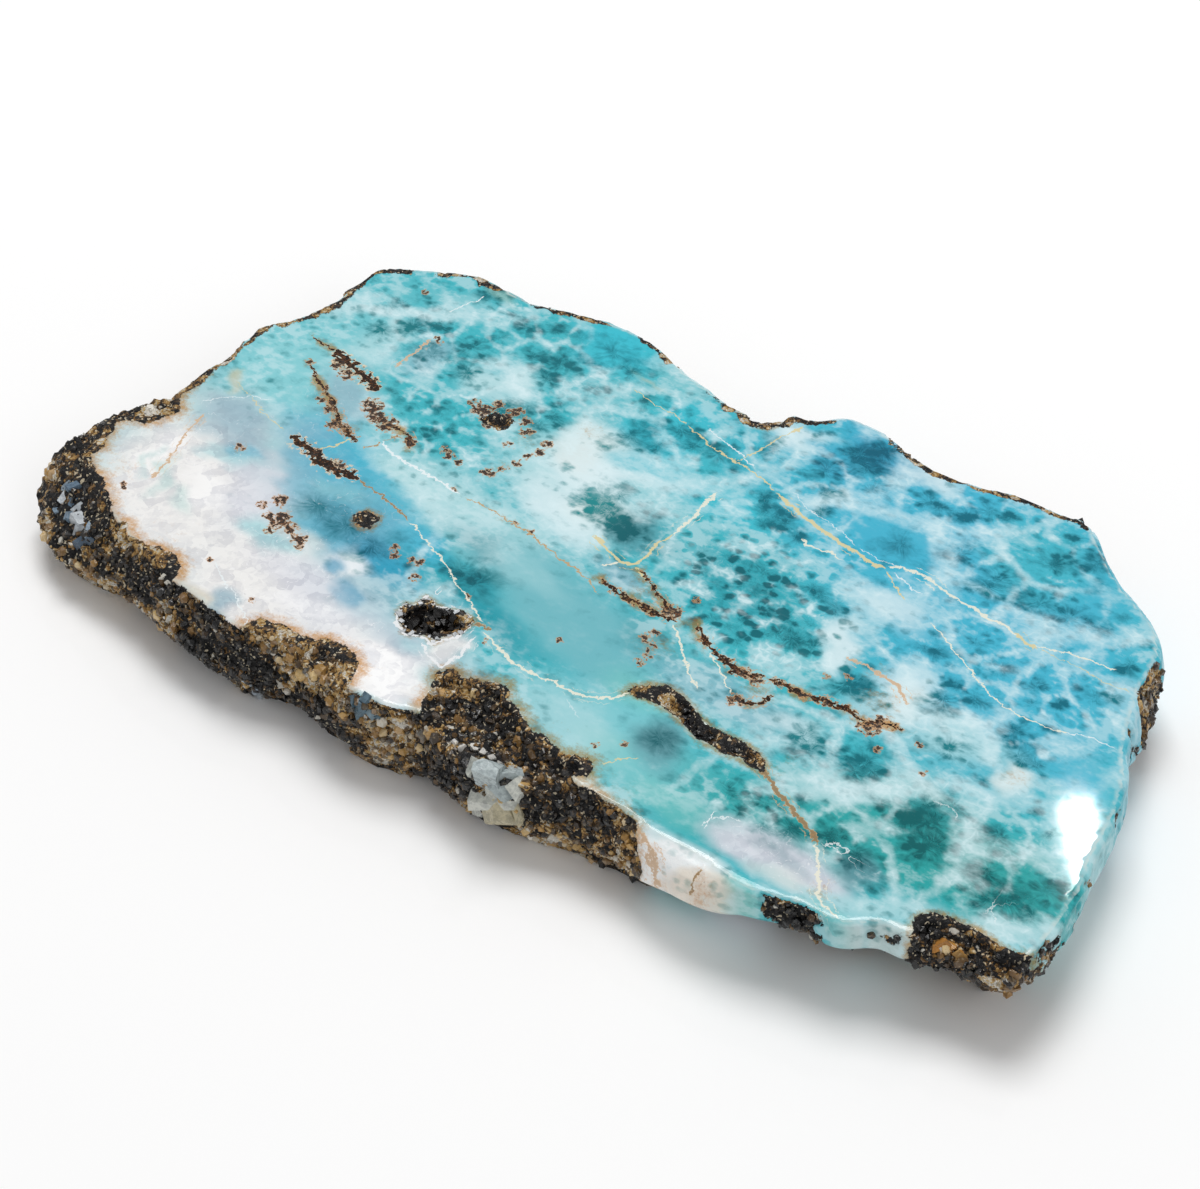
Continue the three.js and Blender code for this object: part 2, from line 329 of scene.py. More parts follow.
def selectOnly(item):
    bpy.ops.object.select_all(action="DESELECT")
    bpy.context.view_layer.objects.active = item
    item.select_set(True)


def copyOfSlab():
    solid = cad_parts["larimar_slab"]
    stone = bpy.data.objects.new("larimarStone", solid.data.copy())
    bpy.context.scene.collection.objects.link(stone)
    stone.data.materials.clear()
    selectOnly(stone)
    bpy.ops.object.mode_set(mode="EDIT")
    bpy.ops.mesh.select_all(action="SELECT")
    bpy.ops.mesh.remove_doubles(threshold=1e-6)
    bpy.ops.object.mode_set(mode="OBJECT")
    remesh = stone.modifiers.new("evenMesh", "REMESH")
    remesh.mode = "VOXEL"
    remesh.voxel_size = stoneShape["voxel"] * mm
    bpy.ops.object.modifier_apply(modifier=remesh.name)
    return stone


def flattenFaces(stone):
    points = pointsOf(stone.data)
    normals = normalsOf(stone.data)
    snap = stoneShape["flatSnap"]
    points[(np.abs(points[:, 2] - thickness) < snap) & (normals[:, 2] > 0.94), 2] = thickness
    points[(points[:, 2] < snap) & (normals[:, 2] < -0.94), 2] = 0
    putPoints(stone.data, points)


# edit mode on the chosen faces only
def editFaces(stone, chosen, work):
    selectOnly(stone)
    bpy.ops.object.mode_set(mode="EDIT")
    bpy.ops.mesh.select_mode(type="FACE")
    bpy.ops.mesh.select_all(action="DESELECT")
    bpy.ops.object.mode_set(mode="OBJECT")
    stone.data.polygons.foreach_set("select", chosen)
    bpy.ops.object.mode_set(mode="EDIT")
    work()
    bpy.ops.mesh.select_all(action="DESELECT")
    bpy.ops.object.mode_set(mode="OBJECT")


# the rock that the camera sees is divided once more, and the underside becomes a few large faces
def balanceMesh(stone):
    mesh = stone.data
    points = pointsOf(mesh)
    inFront = points @ np.array(stoneShape["towardsFront"]) > stoneShape["frontFrom"]
    rocky = (points[:, 2] < thickness - 0.25) & (points[:, 2] > 0.1) & inFront
    chosen = faceMeans(mesh, rocky.astype(float)) > 0.3
    editFaces(stone, chosen, lambda: bpy.ops.mesh.subdivide(number_cuts=1))
    low = (pointsOf(mesh)[:, 2] < 0.02) & (normalsOf(mesh)[:, 2] < -0.9)
    flat = faceMeans(mesh, low.astype(float)) > 0.99
    editFaces(stone, flat, lambda: bpy.ops.mesh.decimate(ratio=stoneShape["undersideKept"]))


# how much of the edge is rock, at places along the rim: pixel x, pixel y, share of rock
edgeRock = [
    (45, 452, 1), (90, 420, 1), (150, 395, 1), (205, 371, 1), (250, 338, 1), (304, 315, 1), (345, 297, 1),
    (370, 272, 1), (400, 268, 1), (425, 268, 0.2), (450, 270, 0.85), (490, 282, 0.9), (520, 296, 0.3),
    (550, 308, 1), (590, 316, 0.8), (625, 330, 0.5), (655, 350, 0.9), (690, 375, 0.3), (720, 398, 0.6),
    (745, 412, 1), (785, 413, 1), (815, 420, 0.9), (845, 416, 0.5), (875, 428, 0), (900, 443, 0.6),
    (930, 466, 1), (970, 482, 0.9), (1010, 495, 0.8), (1050, 507, 1), (1085, 517, 0.9), (1100, 545, 0),
    (1130, 588, 0), (1160, 620, 0), (1165, 640, 0.1), (1160, 665, 0.6), (1145, 690, 0.7), (1136, 720, 0.3),
    (1130, 760, 0.2), (1120, 810, 0.35), (1105, 845, 0.3), (1090, 890, 0.35), (1070, 930, 0.3),
    (1052, 955, 0.5), (1035, 965, 1), (1010, 975, 1), (960, 950, 1), (920, 940, 1), (900, 934, 0.3),
    (870, 928, 0.2), (845, 927, 0.2), (826, 922, 0.4), (812, 914, 1), (790, 903, 1), (768, 897, 0.9),
    (752, 893, 0.1), (730, 882, 0), (690, 860, 0), (650, 838, 0), (632, 824, 0.6), (615, 812, 1),
    (575, 792, 1), (520, 772, 1), (453, 740, 1), (400, 710, 1), (350, 694, 1), (290, 645, 1),
    (240, 628, 1), (190, 592, 1), (150, 560, 1), (110, 520, 1), (80, 500, 1), (60, 475, 1),
]

# places of the face where rock shows: outlines in the photograph's pixels
openRock = {
    "endRind": [
        (30, 440), (110, 395), (200, 368), (203, 374), (181, 394), (180, 411), (157, 421), (146, 422),
        (129, 419), (118, 421), (107, 436), (104, 447), (89, 454), (90, 464), (94, 470), (103, 477),
        (104, 489), (111, 499), (110, 513), (113, 520), (127, 522), (128, 534), (146, 545), (160, 548),
        (178, 556), (181, 566), (176, 577), (130, 610), (30, 560),
    ],
    "frontRust": [
        (230, 640), (240, 625), (262, 620), (285, 626), (305, 638), (330, 640), (354, 654), (360, 668),
        (350, 682), (343, 696), (300, 690),
    ],
    "frontBay": [
        (400, 730), (420, 712), (423, 700), (432, 690), (438, 673), (453, 669), (466, 679), (486, 681),
        (507, 684), (506, 700), (518, 707), (524, 716), (532, 732), (546, 739), (558, 752), (579, 755),
        (593, 762), (590, 775), (570, 777), (577, 787), (596, 793), (618, 808), (636, 822), (620, 900),
        (450, 860),
    ],
    "backNotch": [
        (735, 400), (740, 410), (748, 419), (757, 426), (768, 429), (780, 423), (792, 412), (800, 400),
    ],
    "cornerPocket": [
        (906, 960), (911, 936), (914, 922), (920, 916), (932, 913), (950, 917), (965, 924), (985, 934),
        (1000, 947), (1015, 954), (1030, 957), (1048, 950), (1050, 1000),
    ],
    "crystalHollow": [
        (399, 611), (406, 604), (414, 607), (427, 597), (435, 606), (445, 609), (465, 613), (474, 622),
        (458, 634), (445, 636), (434, 642), (424, 634), (404, 633),
    ],
    "openSeam": [
        (624, 691), (634, 686), (650, 685), (664, 686), (676, 691), (686, 701), (696, 712), (706, 724),
        (722, 733), (741, 742), (757, 752), (766, 764), (762, 772), (752, 766), (738, 758), (722, 752),
        (706, 745), (694, 733), (682, 722), (670, 712), (656, 703), (642, 698),
    ],
    "bluePit": [(354, 520), (360, 513), (368, 511), (381, 517), (376, 523), (370, 529), (360, 528)],
}

rockBorder = {
    "patches": ((0.5, 2.4, 3), (0.25, 0.9, 4)),  # how the share of rock varies: reach, size, seed
    "wander": 1.8,  # how far its border wanders
    "wanderSize": 3.2,
    "between": (0.35, 0.6),  # shares of rock where it begins and where it is full
    "worn": 0.35,  # how ragged the outlines of the open rock are
    "wornSize": 1.1,
    "wornEdge": (-0.25, 0.2),
}


# rock share at each point, from the nearest places of the rim
def edgeRockAt(points):
    places = onStone([(x, y) for x, y, share in edgeRock])
    total = np.zeros(len(points))
    weighed = np.zeros(len(points))
    for place, (x, y, share) in zip(places, edgeRock):
        weight = 1 / (gapTo(points, place) + 0.6) ** 4
        total += weight
        weighed += weight * share
    return weighed / total


# 1 inside the outlines of the open rock, fading to 0 over their worn borders
def openRockAt(points):
    size = rockBorder["wornSize"]
    ragged = np.stack([noiseAt(points, size, 21), noiseAt(points, size, 22)], 1)
    worn = points[:, :2] + rockBorder["worn"] * ragged
    mask = np.zeros(len(points))
    for outline in openRock.values():
        mask = np.maximum(mask, smoothStep(*rockBorder["wornEdge"], depthInside(worn, onStone(outline))))
    return mask


def liesOnFace(points):
    return points[:, 2] > thickness - 0.02


def belowFaceAt(points):
    return smoothStep(*stoneShape["belowFace"], thickness - points[:, 2])


# how far each point of the polished face lies from its border
def rimGapAt(points):
    border = points[(points[:, 2] < thickness - 0.02) & (points[:, 2] > thickness - 1.2)]
    tree = KDTree(len(border))
    for index, point in enumerate(border):
        tree.insert((point[0], point[1], 0), index)
    tree.balance()
    gaps = np.zeros(len(points))
    for index in np.flatnonzero(liesOnFace(points)):
        gaps[index] = tree.find((points[index, 0], points[index, 1], 0))[2]
    return gaps


# where the stone is rock rather than larimar
def rockAt(points):
    size = rockBorder["wanderSize"]
    patchy = sum(reach * noiseAt(points, grain, seed) for reach, grain, seed in rockBorder["patches"])
    wander = np.stack([noiseAt(points, size, 5), noiseAt(points, size, 6), np.zeros(len(points))], 1)
    share = edgeRockAt(points + rockBorder["wander"] * wander) + 0.5 * patchy
    edge = smoothStep(*rockBorder["between"], share) * belowFaceAt(points)
    return np.maximum(edge, openRockAt(points))


def roughenRock(stone):
    points = pointsOf(stone.data)
    normals = normalsOf(stone.data)
    rock = rockAt(points)
    push = np.zeros(len(points))
    for size, reach, seed in stoneShape["lumps"]:
        nearest, second, own = cellsAt(points, size, seed)
        lump = smoothStep(0, 0.5, second - nearest) * (0.55 + 0.45 * own)
        push += reach * (lump - stoneShape["lumpMiddle"])
    mild = stoneShape["mild"] * noiseAt(points, stoneShape["mildSize"], 8) * (1 - rock)
    aboveFoot = smoothStep(*stoneShape["aboveFoot"], points[:, 2])
    points += normals * ((push * rock + mild) * belowFaceAt(points) * aboveFoot)[:, None]
    points[:, 2] = np.clip(points[:, 2], 0, thickness)
    putPoints(stone.data, points)


stone = copyOfSlab()
flattenFaces(stone)
balanceMesh(stone)
roughenRock(stone)
print("stone shaped:", len(stone.data.polygons), "faces")


# the larimar's own colours, as seen on a screen
palette = {
    "teal": (30, 150, 165),
    "turquoise": (64, 181, 193),
    "clearTurquoise": (58, 190, 208),
    "sky": (68, 180, 208),
    "deepSky": (38, 152, 188),
    "aqua": (132, 204, 211),
    "paleAqua": (174, 217, 222),
    "milk": (222, 238, 242),
    "greenTeal": (40, 160, 158),
    "paleGreen": (118, 198, 194),
    "smoothTeal": (112, 184, 194),
    "lavender": (222, 224, 232),
    "quartz": (240, 239, 237),
    "snow": (254, 254, 254),
    "greyBlue": (150, 184, 198),
    "slate": (92, 142, 152),
    "haze": (222, 228, 224),
    "cream": (236, 222, 202),
    "sand": (206, 190, 150),
}

# soft patches of colour on the face, laid one over the other:
# colour: pixel x, pixel y, half length, half height, turn in degrees, share
ground = [
    ("sky", (960, 540, 250, 130, 28, 1), (1000, 680, 190, 110, 25, 0.9)),
    ("turquoise", (700, 600, 150, 90, 32, 0.8), (1040, 560, 60, 50, 40, 0.6), (480, 330, 120, 60, 20, 0.9)),
    ("greenTeal", (900, 840, 180, 60, 14, 0.85), (700, 800, 120, 45, 24, 0.6),
     (990, 890, 110, 45, 14, 0.8)),
    ("aqua", (300, 380, 90, 60, 20, 1), (330, 330, 90, 30, -25, 0.6), (620, 740, 90, 60, 30, 0.75)),
    ("paleAqua", (440, 500, 110, 30, 38, 0.95), (520, 540, 60, 18, 38, 0.7), (560, 480, 80, 40, 35, 0.85)),
    ("smoothTeal", (560, 610, 100, 50, 36, 1), (470, 545, 60, 22, 36, 0.8), (600, 660, 60, 30, 30, 0.8)),
    ("teal", (470, 590, 60, 16, 45, 0.8), (500, 625, 40, 14, 45, 0.5)),
    ("clearTurquoise", (615, 348, 48, 28, 15, 1), (660, 450, 48, 34, 30, 0.9), (690, 420, 40, 20, 30, 0.7)),
    ("milk", (590, 470, 48, 45, 30, 0.8), (560, 515, 60, 22, 35, 0.7), (510, 385, 38, 20, 5, 0.55)),
    ("haze", (585, 450, 34, 30, 30, 0.6), (600, 515, 34, 20, 20, 0.5)),
    ("sky", (330, 440, 60, 30, 25, 0.8), (350, 500, 90, 44, 36, 0.9), (420, 545, 40, 22, 40, 0.8)),
    ("deepSky", (380, 560, 55, 30, 32, 0.8), (345, 545, 45, 22, 20, 0.7), (310, 445, 26, 14, 25, 0.4)),
    ("greyBlue", (345, 395, 38, 26, 35, 0.75), (430, 356, 30, 14, -10, 0.6), (235, 425, 34, 30, 10, 0.85)),
    ("aqua", (330, 490, 44, 14, 10, 0.55), (300, 360, 60, 22, 10, 0.5)),
    ("paleAqua", (372, 344, 44, 16, -20, 0.7), (510, 384, 44, 18, 5, 0.75), (455, 300, 30, 12, 10, 0.4)),
    ("milk", (345, 310, 40, 8, 0, 0.3), (370, 312, 60, 7, 5, 0.35), (450, 312, 40, 8, 5, 0.35)),
    ("paleGreen", (640, 690, 50, 22, 20, 0.6), (600, 745, 40, 22, 20, 0.5), (665, 800, 50, 24, 25, 0.5)),
    ("slate", (660, 745, 30, 26, 10, 0.8), (858, 868, 30, 20, 35, 0.7), (470, 700, 30, 16, 10, 0.35)),
    ("slate", (640, 535, 40, 20, 25, 0.6), (650, 640, 40, 24, 30, 0.35), (480, 545, 34, 12, 36, 0.45)),
    ("greyBlue", (625, 580, 34, 18, 30, 0.7), (700, 690, 60, 24, 30, 0.55), (760, 715, 50, 22, 25, 0.5)),
    ("paleAqua", (560, 720, 70, 34, 28, 0.7), (600, 800, 50, 16, 35, 0.7), (690, 380, 30, 12, 35, 0.4)),
    ("milk", (890, 606, 46, 20, 25, 0.6), (838, 648, 18, 34, 20, 0.8), (985, 590, 30, 8, 25, 0.4)),
    ("milk", (800, 437, 34, 14, 10, 0.75), (930, 478, 34, 14, 25, 0.75), (1130, 700, 24, 20, 30, 0.3)),
    ("milk", (700, 560, 14, 10, 20, 0.2), (640, 478, 60, 10, 8, 0.5), (830, 500, 30, 9, -8, 0.5)),
    ("milk", (900, 690, 34, 24, 20, 0.7), (800, 730, 40, 16, 20, 0.5), (880, 712, 40, 12, 15, 0.5)),
    ("paleAqua", (960, 740, 70, 22, 15, 0.7), (840, 790, 70, 12, 5, 0.6), (1080, 845, 40, 40, -60, 0.7)),
    ("deepSky", (885, 450, 50, 26, 35, 0.7), (840, 465, 26, 14, 20, 0.4), (900, 550, 40, 20, 25, 0.35)),
    ("sky", (900, 548, 50, 30, 28, 0.8), (860, 420, 34, 14, 20, 0.7), (1080, 785, 34, 22, 30, 0.7)),
    ("clearTurquoise", (735, 515, 50, 26, 25, 0.5), (720, 500, 60, 20, 10, 0.5)),
    ("haze", (1012, 778, 18, 16, 50, 0.8), (900, 700, 22, 16, 40, 0.5), (925, 790, 30, 12, 30, 0.3)),
    ("lavender", (780, 858, 80, 26, 28, 0.9), (735, 840, 40, 16, 30, 0.7), (820, 885, 40, 12, 25, 0.7)),
    ("slate", (760, 845, 24, 8, 25, 0.4), (790, 868, 30, 8, 25, 0.35), (855, 866, 24, 12, 35, 0.5)),
    ("paleAqua", (930, 920, 90, 12, 12, 0.75), (840, 905, 60, 14, 14, 0.7), (1040, 925, 24, 16, 20, 0.5)),
    ("snow", (675, 862, 60, 24, 26, 0.95), (640, 840, 30, 14, 30, 0.8)),
    ("cream", (700, 880, 60, 8, 22, 0.7), (640, 862, 24, 18, 60, 0.5), (592, 790, 22, 10, 40, 0.6)),
    ("quartz", (180, 490, 120, 110, 20, 1), (250, 590, 110, 90, 30, 1), (360, 655, 90, 36, 22, 1)),
    ("lavender", (260, 490, 44, 44, 10, 0.8), (330, 600, 60, 40, 15, 0.7), (410, 650, 40, 20, 20, 0.6)),
    ("lavender", (300, 570, 60, 20, 15, 0.5), (380, 620, 40, 16, 30, 0.5), (120, 560, 30, 20, 40, 0.4)),
    ("greyBlue", (232, 420, 34, 32, 10, 0.8), (245, 450, 24, 16, 20, 0.5), (222, 600, 18, 14, 0, 0.8)),
    ("greyBlue", (410, 640, 30, 12, 20, 0.4), (375, 595, 40, 22, 20, 0.7), (470, 680, 40, 18, 30, 0.7)),
    ("paleAqua", (275, 445, 24, 8, 5, 0.8), (225, 457, 34, 8, 5, 0.7), (268, 532, 26, 16, 40, 0.9)),
    ("sky", (300, 478, 24, 40, 10, 0.6), (330, 530, 36, 18, 20, 0.8), (240, 452, 16, 5, 5, 0.5)),
    # the snow at 385, 676 belongs to the pure white blob by the front rock: white quartz painted as bright
    # as the lamp's blown-out reflection on it
    ("snow", (355, 566, 24, 14, 20, 0.8), (385, 676, 36, 26, 10, 1), (205, 490, 24, 20, 60, 0.6)),
    ("snow", (310, 610, 60, 12, 20, 0.5), (160, 455, 40, 12, -35, 0.5), (130, 410, 40, 10, -25, 0.3)),
    ("paleGreen", (163, 476, 24, 8, -45, 0.35), (180, 500, 22, 12, 60, 0.3), (150, 462, 20, 5, -40, 0.3)),
    ("deepSky", (344, 568, 13, 9, 15, 0.75), (346, 592, 16, 11, 15, 0.6)),
    ("greyBlue", (330, 500, 90, 40, 30, 0.35), (300, 440, 40, 30, 20, 0.4), (440, 620, 40, 30, 40, 0.5)),
    ("paleAqua", (450, 650, 50, 14, 30, 0.5), (400, 470, 60, 12, 30, 0.5), (520, 570, 60, 12, 35, 0.35)),
    ("teal", (520, 640, 60, 14, 38, 0.35), (420, 560, 40, 10, 45, 0.4), (740, 590, 70, 50, 30, 0.5)),
    ("paleGreen", (745, 894, 26, 12, 20, 0.8), (830, 915, 30, 8, 20, 0.5)),
    ("haze", (880, 930, 50, 8, 8, 0.7), (780, 880, 40, 10, 20, 0.6)),
    # the pure white blob beside the front rock is white quartz painted as bright as a blown-out reflection
    # of the lamp on it
    ("snow", (365, 692, 50, 12, 22, 1), (400, 690, 30, 14, 20, 0.9), (372, 668, 50, 24, 20, 1)),
    ("quartz", (330, 680, 40, 16, 25, 1), (420, 700, 24, 12, 20, 0.8), (445, 652, 26, 16, -20, 0.9)),
    ("haze", (500, 745, 30, 12, 30, 0.7), (560, 790, 30, 14, 30, 0.8), (590, 800, 30, 14, 30, 0.7)),
    ("sand", (150, 560, 30, 10, 30, 0.5), (190, 590, 26, 8, 30, 0.4), (235, 378, 18, 6, -30, 0.6)),
    ("sand", (505, 297, 18, 8, 20, 0.3), (645, 380, 16, 5, 40, 0.4), (110, 530, 26, 12, 40, 0.5)),
]

# dark starry eyes of the pattern: half width, depth, then their places in pixels
eyes = [
    (3.0, 0.55, (859, 455), (615, 352), (632, 437), (598, 505), (950, 748), (1044, 890), (1055, 565)),
    (2.6, 0.85, (863, 762), (850, 688), (928, 822), (560, 365), (604, 512)),
    (2.5, 0.6, (1040, 606), (1072, 616), (346, 526), (374, 550), (315, 506), (900, 545), (432, 352),
     (923, 848)),
    (2.2, 0.75, (377, 328), (471, 348), (464, 372), (884, 452), (866, 467), (825, 471), (963, 553),
     (989, 588)),
    (2.2, 0.65, (626, 530), (660, 740), (987, 899), (632, 373), (458, 570), (476, 583), (996, 578),
     (1096, 562)),
    (1.8, 0.95, (1000, 838), (943, 702), (933, 841), (828, 836), (789, 829), (598, 496), (794, 640),
     (778, 634)),
    (1.8, 0.8, (412, 326), (535, 356), (540, 427), (684, 430), (718, 455), (978, 702), (930, 819),
     (987, 873)),
    (1.8, 0.75, (732, 789), (809, 645), (830, 608), (1022, 757), (1006, 905), (859, 857), (805, 735),
     (808, 749)),
    (1.6, 0.7, (402, 303), (504, 408), (522, 413), (643, 403), (693, 445), (989, 512), (928, 647),
     (1129, 665)),
    (1.6, 0.55, (494, 297), (517, 297), (873, 489), (928, 502), (555, 419), (619, 519), (619, 493),
     (705, 552)),
    (1.4, 0.8, (1016, 731), (1038, 764), (814, 588), (837, 606), (763, 573), (763, 609), (872, 771),
     (853, 768)),
    (1.4, 0.6, (555, 330), (547, 379), (588, 389), (657, 447), (979, 642), (1001, 670), (1096, 698),
     (938, 652)),
    (1.3, 0.8, (524, 328), (440, 326), (963, 516), (943, 508), (910, 822), (923, 806), (955, 806),
     (741, 809)),
    (1.2, 0.75, (763, 497), (766, 510), (763, 525), (824, 494), (820, 512), (796, 540), (773, 450),
     (1038, 687)),
    (1.2, 0.65, (778, 515), (784, 523), (727, 558), (745, 569), (784, 581), (756, 582), (743, 586),
     (822, 597)),
    (1.1, 0.65, (753, 594), (725, 600), (779, 611), (789, 620), (766, 634), (743, 621), (738, 640),
     (712, 621)),
    (1.1, 0.6, (702, 572), (716, 584), (700, 606), (728, 628), (752, 634), (806, 622), (800, 600),
     (772, 592)),
    (1.0, 0.6, (581, 338), (514, 317), (504, 338), (568, 363), (558, 402), (1012, 515), (1074, 539),
     (1124, 617)),
    (1.0, 0.6, (1093, 627), (1106, 631), (1032, 703), (1060, 708), (1114, 701), (1048, 835), (879, 803),
     (764, 828)),
    (1.0, 0.5, (761, 803), (777, 806), (748, 797), (805, 800), (1041, 809), (840, 838), (1032, 915),
     (953, 688)),
    (0.9, 0.5, (389, 305), (402, 412), (397, 402), (412, 417), (417, 404), (428, 420), (422, 430),
     (440, 417)),
    (0.9, 0.5, (408, 440), (436, 436), (450, 428), (462, 440), (470, 425), (445, 446), (392, 392),
     (455, 410)),
]

# soft pale clouds: half length, half height, turn in degrees, share, then places, all in pixels
clouds = [
    (50, 6, 3, 0.75, (676, 486), (644, 487), (720, 488), (840, 790), (891, 790), (942, 784), (1055, 635),
     (1093, 637)),
    (34, 7, 5, 0.6, (392, 312), (430, 312), (470, 317), (593, 386), (501, 384), (978, 531), (700, 543),
     (1019, 803)),
    (30, 11, 30, 0.85, (517, 493), (545, 511), (560, 530), (422, 493), (479, 493), (443, 510),
     (470, 470), (500, 475)),
    (26, 14, 10, 0.95, (606, 404), (601, 430), (586, 447), (611, 457), (570, 457), (555, 468), (590, 470)),
    (24, 12, 0, 0.8, (389, 363), (370, 352), (376, 361), (430, 368), (504, 366), (524, 394), (501, 320),
     (581, 401)),
    (30, 10, 14, 0.7, (902, 604), (884, 611), (915, 596), (943, 724), (884, 714), (987, 921), (1044, 927)),
    (11, 20, 0, 0.9, (838, 637), (830, 652), (917, 684), (900, 700), (898, 742), (904, 766), (974, 809),
     (971, 841)),
    (12, 12, 0, 0.75, (907, 466), (902, 451), (943, 538), (945, 563), (945, 580), (971, 793), (977, 854),
     (828, 778)),
    (28, 7, 12, 0.7, (884, 502), (845, 501), (888, 514), (920, 524), (957, 530), (978, 729), (1032, 854),
     (655, 390)),
    (8, 18, 0, 0.6, (657, 506), (657, 468), (657, 363), (512, 350), (575, 506), (989, 739), (984, 757),
     (640, 470)),
    (14, 9, 20, 0.6, (789, 458), (784, 433), (733, 473), (838, 442), (815, 665), (783, 723), (796, 755),
     (1051, 867)),
    (16, 8, 20, 0.6, (687, 568), (697, 588), (804, 556), (742, 603), (733, 616), (776, 546), (740, 548),
     (690, 636)),
    (10, 5, 25, 0.55, (770, 600), (797, 612), (752, 617), (773, 622), (793, 590), (808, 604), (777, 565),
     (735, 578)),
    (18, 10, 60, 0.65, (965, 867), (955, 905), (1004, 716), (912, 762), (1076, 790), (1115, 778),
     (1051, 819)),
    (12, 8, 20, 0.5, (850, 640), (960, 628), (1024, 620), (989, 673), (1020, 690), (1075, 680),
     (1080, 745), (1120, 730)),
    (20, 5, 10, 0.5, (315, 486), (338, 480), (355, 312), (345, 325), (360, 300), (450, 300), (540, 318),
     (420, 340)),
    (16, 10, 20, 0.6, (815, 717), (830, 724), (870, 735), (824, 765), (760, 760), (775, 745), (812, 690),
     (700, 740)),
    (24, 10, 30, 0.5, (560, 700), (600, 720), (570, 740), (640, 790), (600, 690), (690, 690), (690, 720),
     (650, 700)),
]

# soft white threads between the cells: half width, share, then their places in pixels
webs = [
    (0.75, 0.8, (600, 489), (659, 489), (710, 484), (758, 479)),
    (0.5, 0.5, (659, 489), (655, 455)),
    (0.6, 0.6, (660, 489), (665, 522)),
    (0.7, 0.6, (763, 466), (779, 443), (804, 422)),
    (0.7, 0.5, (763, 479), (804, 458), (822, 438)),
    (0.8, 0.6, (822, 504), (855, 499), (906, 484), (914, 463)),
    (0.8, 0.7, (855, 504), (906, 519), (957, 540), (1000, 545)),
    (0.7, 0.6, (912, 522), (943, 535), (1004, 533), (1030, 543)),
    (0.8, 0.6, (943, 543), (945, 579), (958, 604)),
    (0.9, 0.8, (1017, 612), (1055, 630), (1119, 637), (1157, 635)),
    (0.9, 0.8, (897, 668), (912, 701), (943, 721), (994, 727)),
    (0.5, 0.5, (989, 668), (1024, 670)),
    (0.8, 0.7, (910, 714), (942, 733), (981, 739), (987, 755)),
    (0.5, 0.5, (981, 739), (1000, 714), (1019, 711)),
    (0.9, 0.85, (780, 787), (843, 793), (891, 793), (904, 784), (942, 777), (974, 790), (1019, 800),
     (1067, 809)),
    (0.5, 0.5, (922, 788), (953, 800)),
    (0.9, 0.7, (971, 809), (974, 841), (961, 873), (977, 886)),
    (0.6, 0.6, (974, 841), (1035, 857), (1060, 880)),
    (0.5, 0.5, (1051, 784), (1083, 790), (1127, 778)),
    (0.5, 0.6, (942, 924), (980, 930), (1010, 938), (1050, 940)),
    (0.5, 0.6, (960, 945), (990, 925), (1030, 930)),
    (0.7, 0.6, (380, 312), (420, 312), (470, 318), (520, 316)),
    (0.5, 0.4, (395, 290), (394, 330), (392, 350)),
    (0.5, 0.4, (425, 318), (432, 340), (420, 350)),
    (0.6, 0.5, (560, 392), (600, 400), (640, 385)),
    (0.6, 0.5, (600, 395), (590, 430), (600, 470)),
    (0.6, 0.5, (690, 465), (650, 425), (625, 400)),
    (0.5, 0.5, (338, 372), (356, 380), (370, 395), (362, 412), (380, 430)),
    (0.5, 0.5, (345, 420), (362, 414), (384, 398)),
    (0.4, 0.4, (838, 735), (825, 765), (842, 790)),
    (0.6, 0.6, (838, 770), (800, 755), (790, 775), (783, 790)),
    (0.6, 0.5, (742, 830), (752, 812), (748, 796), (760, 780)),
    (0.5, 0.5, (775, 838), (772, 815), (790, 800)),
    (0.4, 0.4, (800, 812), (806, 830), (822, 850)),
]

